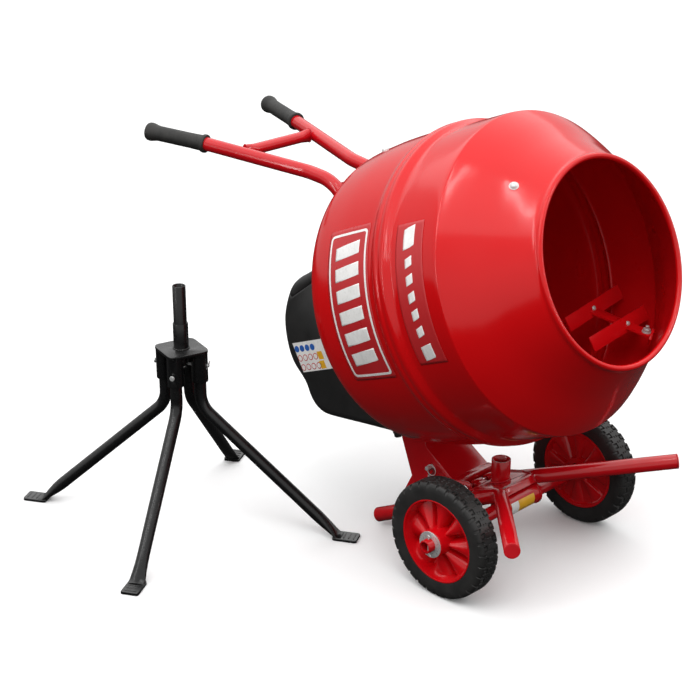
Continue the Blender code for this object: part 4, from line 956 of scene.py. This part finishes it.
def make_stand():
    base = at(STAND.x, STAND.y, 0)
    dress("stand_head", STAND_BLACK, 0.0009, 40)
    spigot = [(0.0118, 0.3700), (0.0141, 0.3700), (0.0141, 0.5470), (0.0134, 0.5480), (0.0124, 0.5480),
              (0.0118, 0.5474)]
    turned("spigot_pipe", spigot, base, UP, STAND_BLACK, "stand", 48, ["stand_spigot"], 50)
    collar = [(0.01425, 0.4072), (0.0163, 0.4072), (0.0163, 0.4632), (0.0158, 0.4642), (0.01425, 0.4642)]
    turned("collar_sleeve", collar, base, UP, STAND_BLACK, "stand", 48, sharp=50)
    seat = base + UP * 0.4082
    weld_bead("weld_collar", ring_path(seat, UP, 0.0172), 0.0018, WELD_BLACK, "stand", True)
    for k in range(4):
        make_leg(k)
    pin = [(0, 0), (0.0050, 0), (0.0055, 0.0006), (0.0055, 0.0024), (0.0050, 0.0030), (0.0031, 0.0034),
           (0.0031, 0.1228), (0.0024, 0.1240), (0, 0.1240)]
    for letter, yaw, z in (("a", STAND_YAW, 0.3720), ("b", STAND_YAW + pi / 2, 0.3600)):
        axis = stand_at(yaw, 0, 0) - stand_at(yaw, 1, 0)
        turned("cross_pin_" + letter, pin, stand_at(yaw, 0.0622, z), axis, ZINC, "stand", 24,
               ["stand_pin_" + letter], 30)
        make_clip(letter, yaw, z)


def make_leg(k):
    yaw = STAND_YAW + k * pi / 2
    reach = STAND_REACH[k % 2]
    top = stand_at(yaw, 0.040, 0.3985)
    elbow = stand_at(yaw, 0.040, 0.2780)
    toe = stand_at(yaw, reach - 0.045, 0.0050)
    along = (toe - elbow).normalized()
    path = rounded_path([top, elbow, toe], 0.060, 12)[:-1]
    path += [toe - along * d for d in (0.060, 0.040, 0.022, 0.008)]
    path += [toe + UP * 0.0002, stand_at(yaw, reach - 0.036, 0.0044)]
    side = Vector((-sin(yaw), cos(yaw), 0))
    # half width and half height over the last points, where the tube is pressed flat
    pressed = {1: (0.0187, 0.0043), 2: (0.0182, 0.0046), 3: (0.0172, 0.0058), 4: (0.0152, 0.0088),
               5: (0.0137, 0.0115)}
    last = len(path)
    rings = rings_along(path, lambda i: pressed.get(last - i, (0.0130, 0.0130)), 28, side)
    loft("leg_%d_tube" % (k + 1), rings, STAND_BLACK, "stand", ["stand_leg_%d" % (k + 1)], 50)

    # pressed foot plate with three raised ribs
    rim = [(-1, 0.0010), (-0.97, 0.0004), (0.97, 0.0004), (1, 0.0010), (1, 0.0052), (0.94, 0.0062),
           (-0.94, 0.0062), (-1, 0.0052)]
    rings = []
    for d, w in ((-0.018, 0.0170), (-0.012, 0.0193), (0.030, 0.0195), (0.0345, 0.0186), (0.0360, 0.0160)):
        base = stand_at(yaw, reach - 0.036 + d, 0.0)
        rings.append([base + side * (w * a) + UP * z for a, z in rim])
    loft("foot_%d_pad" % (k + 1), rings, STAND_BLACK, "stand", sharp=30, bevel=0.0004)
    for i in range(3):
        mid = stand_at(yaw, reach - 0.030 + 0.0110 * i, 0.0064)
        route = [mid + side * (0.0130 * (t / 4 - 1)) for t in range(9)]
        rings = rings_along(route, lambda n: (0.0016 * (0.3 if n in (0, 8) else 1), 0.0009), 8)
        loft("foot_%d_rib_%d" % (k + 1, i + 1), rings, STAND_BLACK, "stand", sharp=60)


def make_clip(letter, yaw, z):
    """Spring clip through the cross pin's end."""
    tip = stand_at(yaw, -0.0600, z)
    out = Vector((-cos(yaw), -sin(yaw), 0))
    side = Vector((-sin(yaw), cos(yaw), 0))
    lean = (UP * 0.94 + out * 0.34).normalized()
    loop = 0.0040
    route = [tip - lean * 0.0080, tip + lean * 0.0065]
    for t in range(-40, 221, 26):
        a = radians(t)
        route.append(tip + lean * (0.0105 + loop * sin(a)) + side * (loop - loop * cos(a)))
    route += [tip + side * 0.0046 + lean * 0.0040, tip + side * 0.0040, tip + side * 0.0052 - lean * 0.0066]
    wire("spring_clip_" + letter, smooth_points(route, 3), 0.0008, ZINC, "stand", 8)


# ---------------------------------------------------------------- hidden drive
def make_drive():
    dress("gearbox_case", CAST, 0.0010)
    dress("gearbox_lid", CAST, 0.0010)
    dress("motor_body", CAST, 0.0008, 40)
    for node in ("motor_rotor", "countershaft", "output_gear", "drum_shaft"):
        dress(node, STEEL, 0.0)


# ---------------------------------------------------------------- studio
def make_studio():
    scene = bpy.context.scene
    scene.view_settings.view_transform = "Standard"
    scene.view_settings.look = "None"
    mesh = bpy.data.meshes.new("studio_floor")
    corners = [(x * 30, y * 30, 0) for x, y in ((-1, -1), (1, -1), (1, 1), (-1, 1))]
    mesh.from_pydata(corners, [], [[0, 1, 2, 3]])
    floor = bpy.data.objects.new("studio_floor", mesh)
    scene.collection.objects.link(floor)
    mat, nodes, links, shader = new_material("studio_paper")
    coords = nodes.new("ShaderNodeTexCoord").outputs["Object"]
    tone = noise_node(nodes, links, coords, 0.6, 2.0)
    links.new(ramp_node(nodes, links, tone, [(0.3, (0.93, 0.93, 0.93, 1)), (0.7, (0.95, 0.95, 0.95, 1))]),
              shader.inputs["Base Color"])
    shader.inputs["Roughness"].default_value = 0.9
    shader.inputs["Specular IOR Level"].default_value = 0.1
    mesh.materials.append(mat)
    floor.visible_glossy = False
    floor.visible_diffuse = False

    world = bpy.data.worlds.new("studio_world")
    scene.world = world
    world.use_nodes = True
    nodes = world.node_tree.nodes
    links = world.node_tree.links
    coords = nodes.new("ShaderNodeTexCoord")
    split = nodes.new("ShaderNodeSeparateXYZ")
    links.new(coords.outputs["Generated"], split.inputs["Vector"])
    # grey at heights from straight down (0) over the horizon (0.5) to straight up (1)
    greys = ((0.0, 0.03), (0.46, 0.05), (0.485, 0.80), (0.70, 0.90), (1.0, 0.60))
    height = map_range(nodes, links, split.outputs["Z"], -1, 1)
    colour = ramp_node(nodes, links, height, [(pos, (grey, grey, grey, 1)) for pos, grey in greys])
    links.new(colour, nodes["Background"].inputs["Color"])
    nodes["Background"].inputs["Strength"].default_value = 0.85

    sky = bpy.data.lights.new("sky_panel", "SUN")
    sky.energy = 2.0
    sky.angle = radians(110)
    obj = bpy.data.objects.new("sky_panel", sky)
    scene.collection.objects.link(obj)
    obj.rotation_euler = (radians(-12), radians(10), 0)

    centre = at(0.0, 0.15, 0.45)
    for name, offset, size_x, size_y, power in (
            ("softbox_top", Vector((-1.0, -1.2, 2.4)), 1.6, 2.2, 27),
            ("strip_top", Vector((-1.2, -0.2, 2.3)), 0.07, 2.4, 7),
            ("strip_left", Vector((-2.6, 0.9, 1.3)), 0.12, 2.2, 9),
            ("strip_right", Vector((1.7, -2.6, 1.5)), 0.12, 2.2, 10)):
        light = bpy.data.lights.new(name, "AREA")
        light.shape = "RECTANGLE"
        light.size = size_x
        light.size_y = size_y
        light.energy = power
        obj = bpy.data.objects.new(name, light)
        scene.collection.objects.link(obj)
        obj.location = centre + offset
        obj.rotation_mode = "QUATERNION"
        obj.rotation_quaternion = (-offset).to_track_quat("-Z", "Y")
        obj.visible_glossy = name.startswith("strip")


make_drum()
make_prints()
make_paddles()
make_chassis()
make_wheel("left", -1)
make_wheel("right", 1)
make_yoke()
make_handles()
make_lock()
make_cover()
make_stickers()
make_stand()
make_drive()
make_studio()
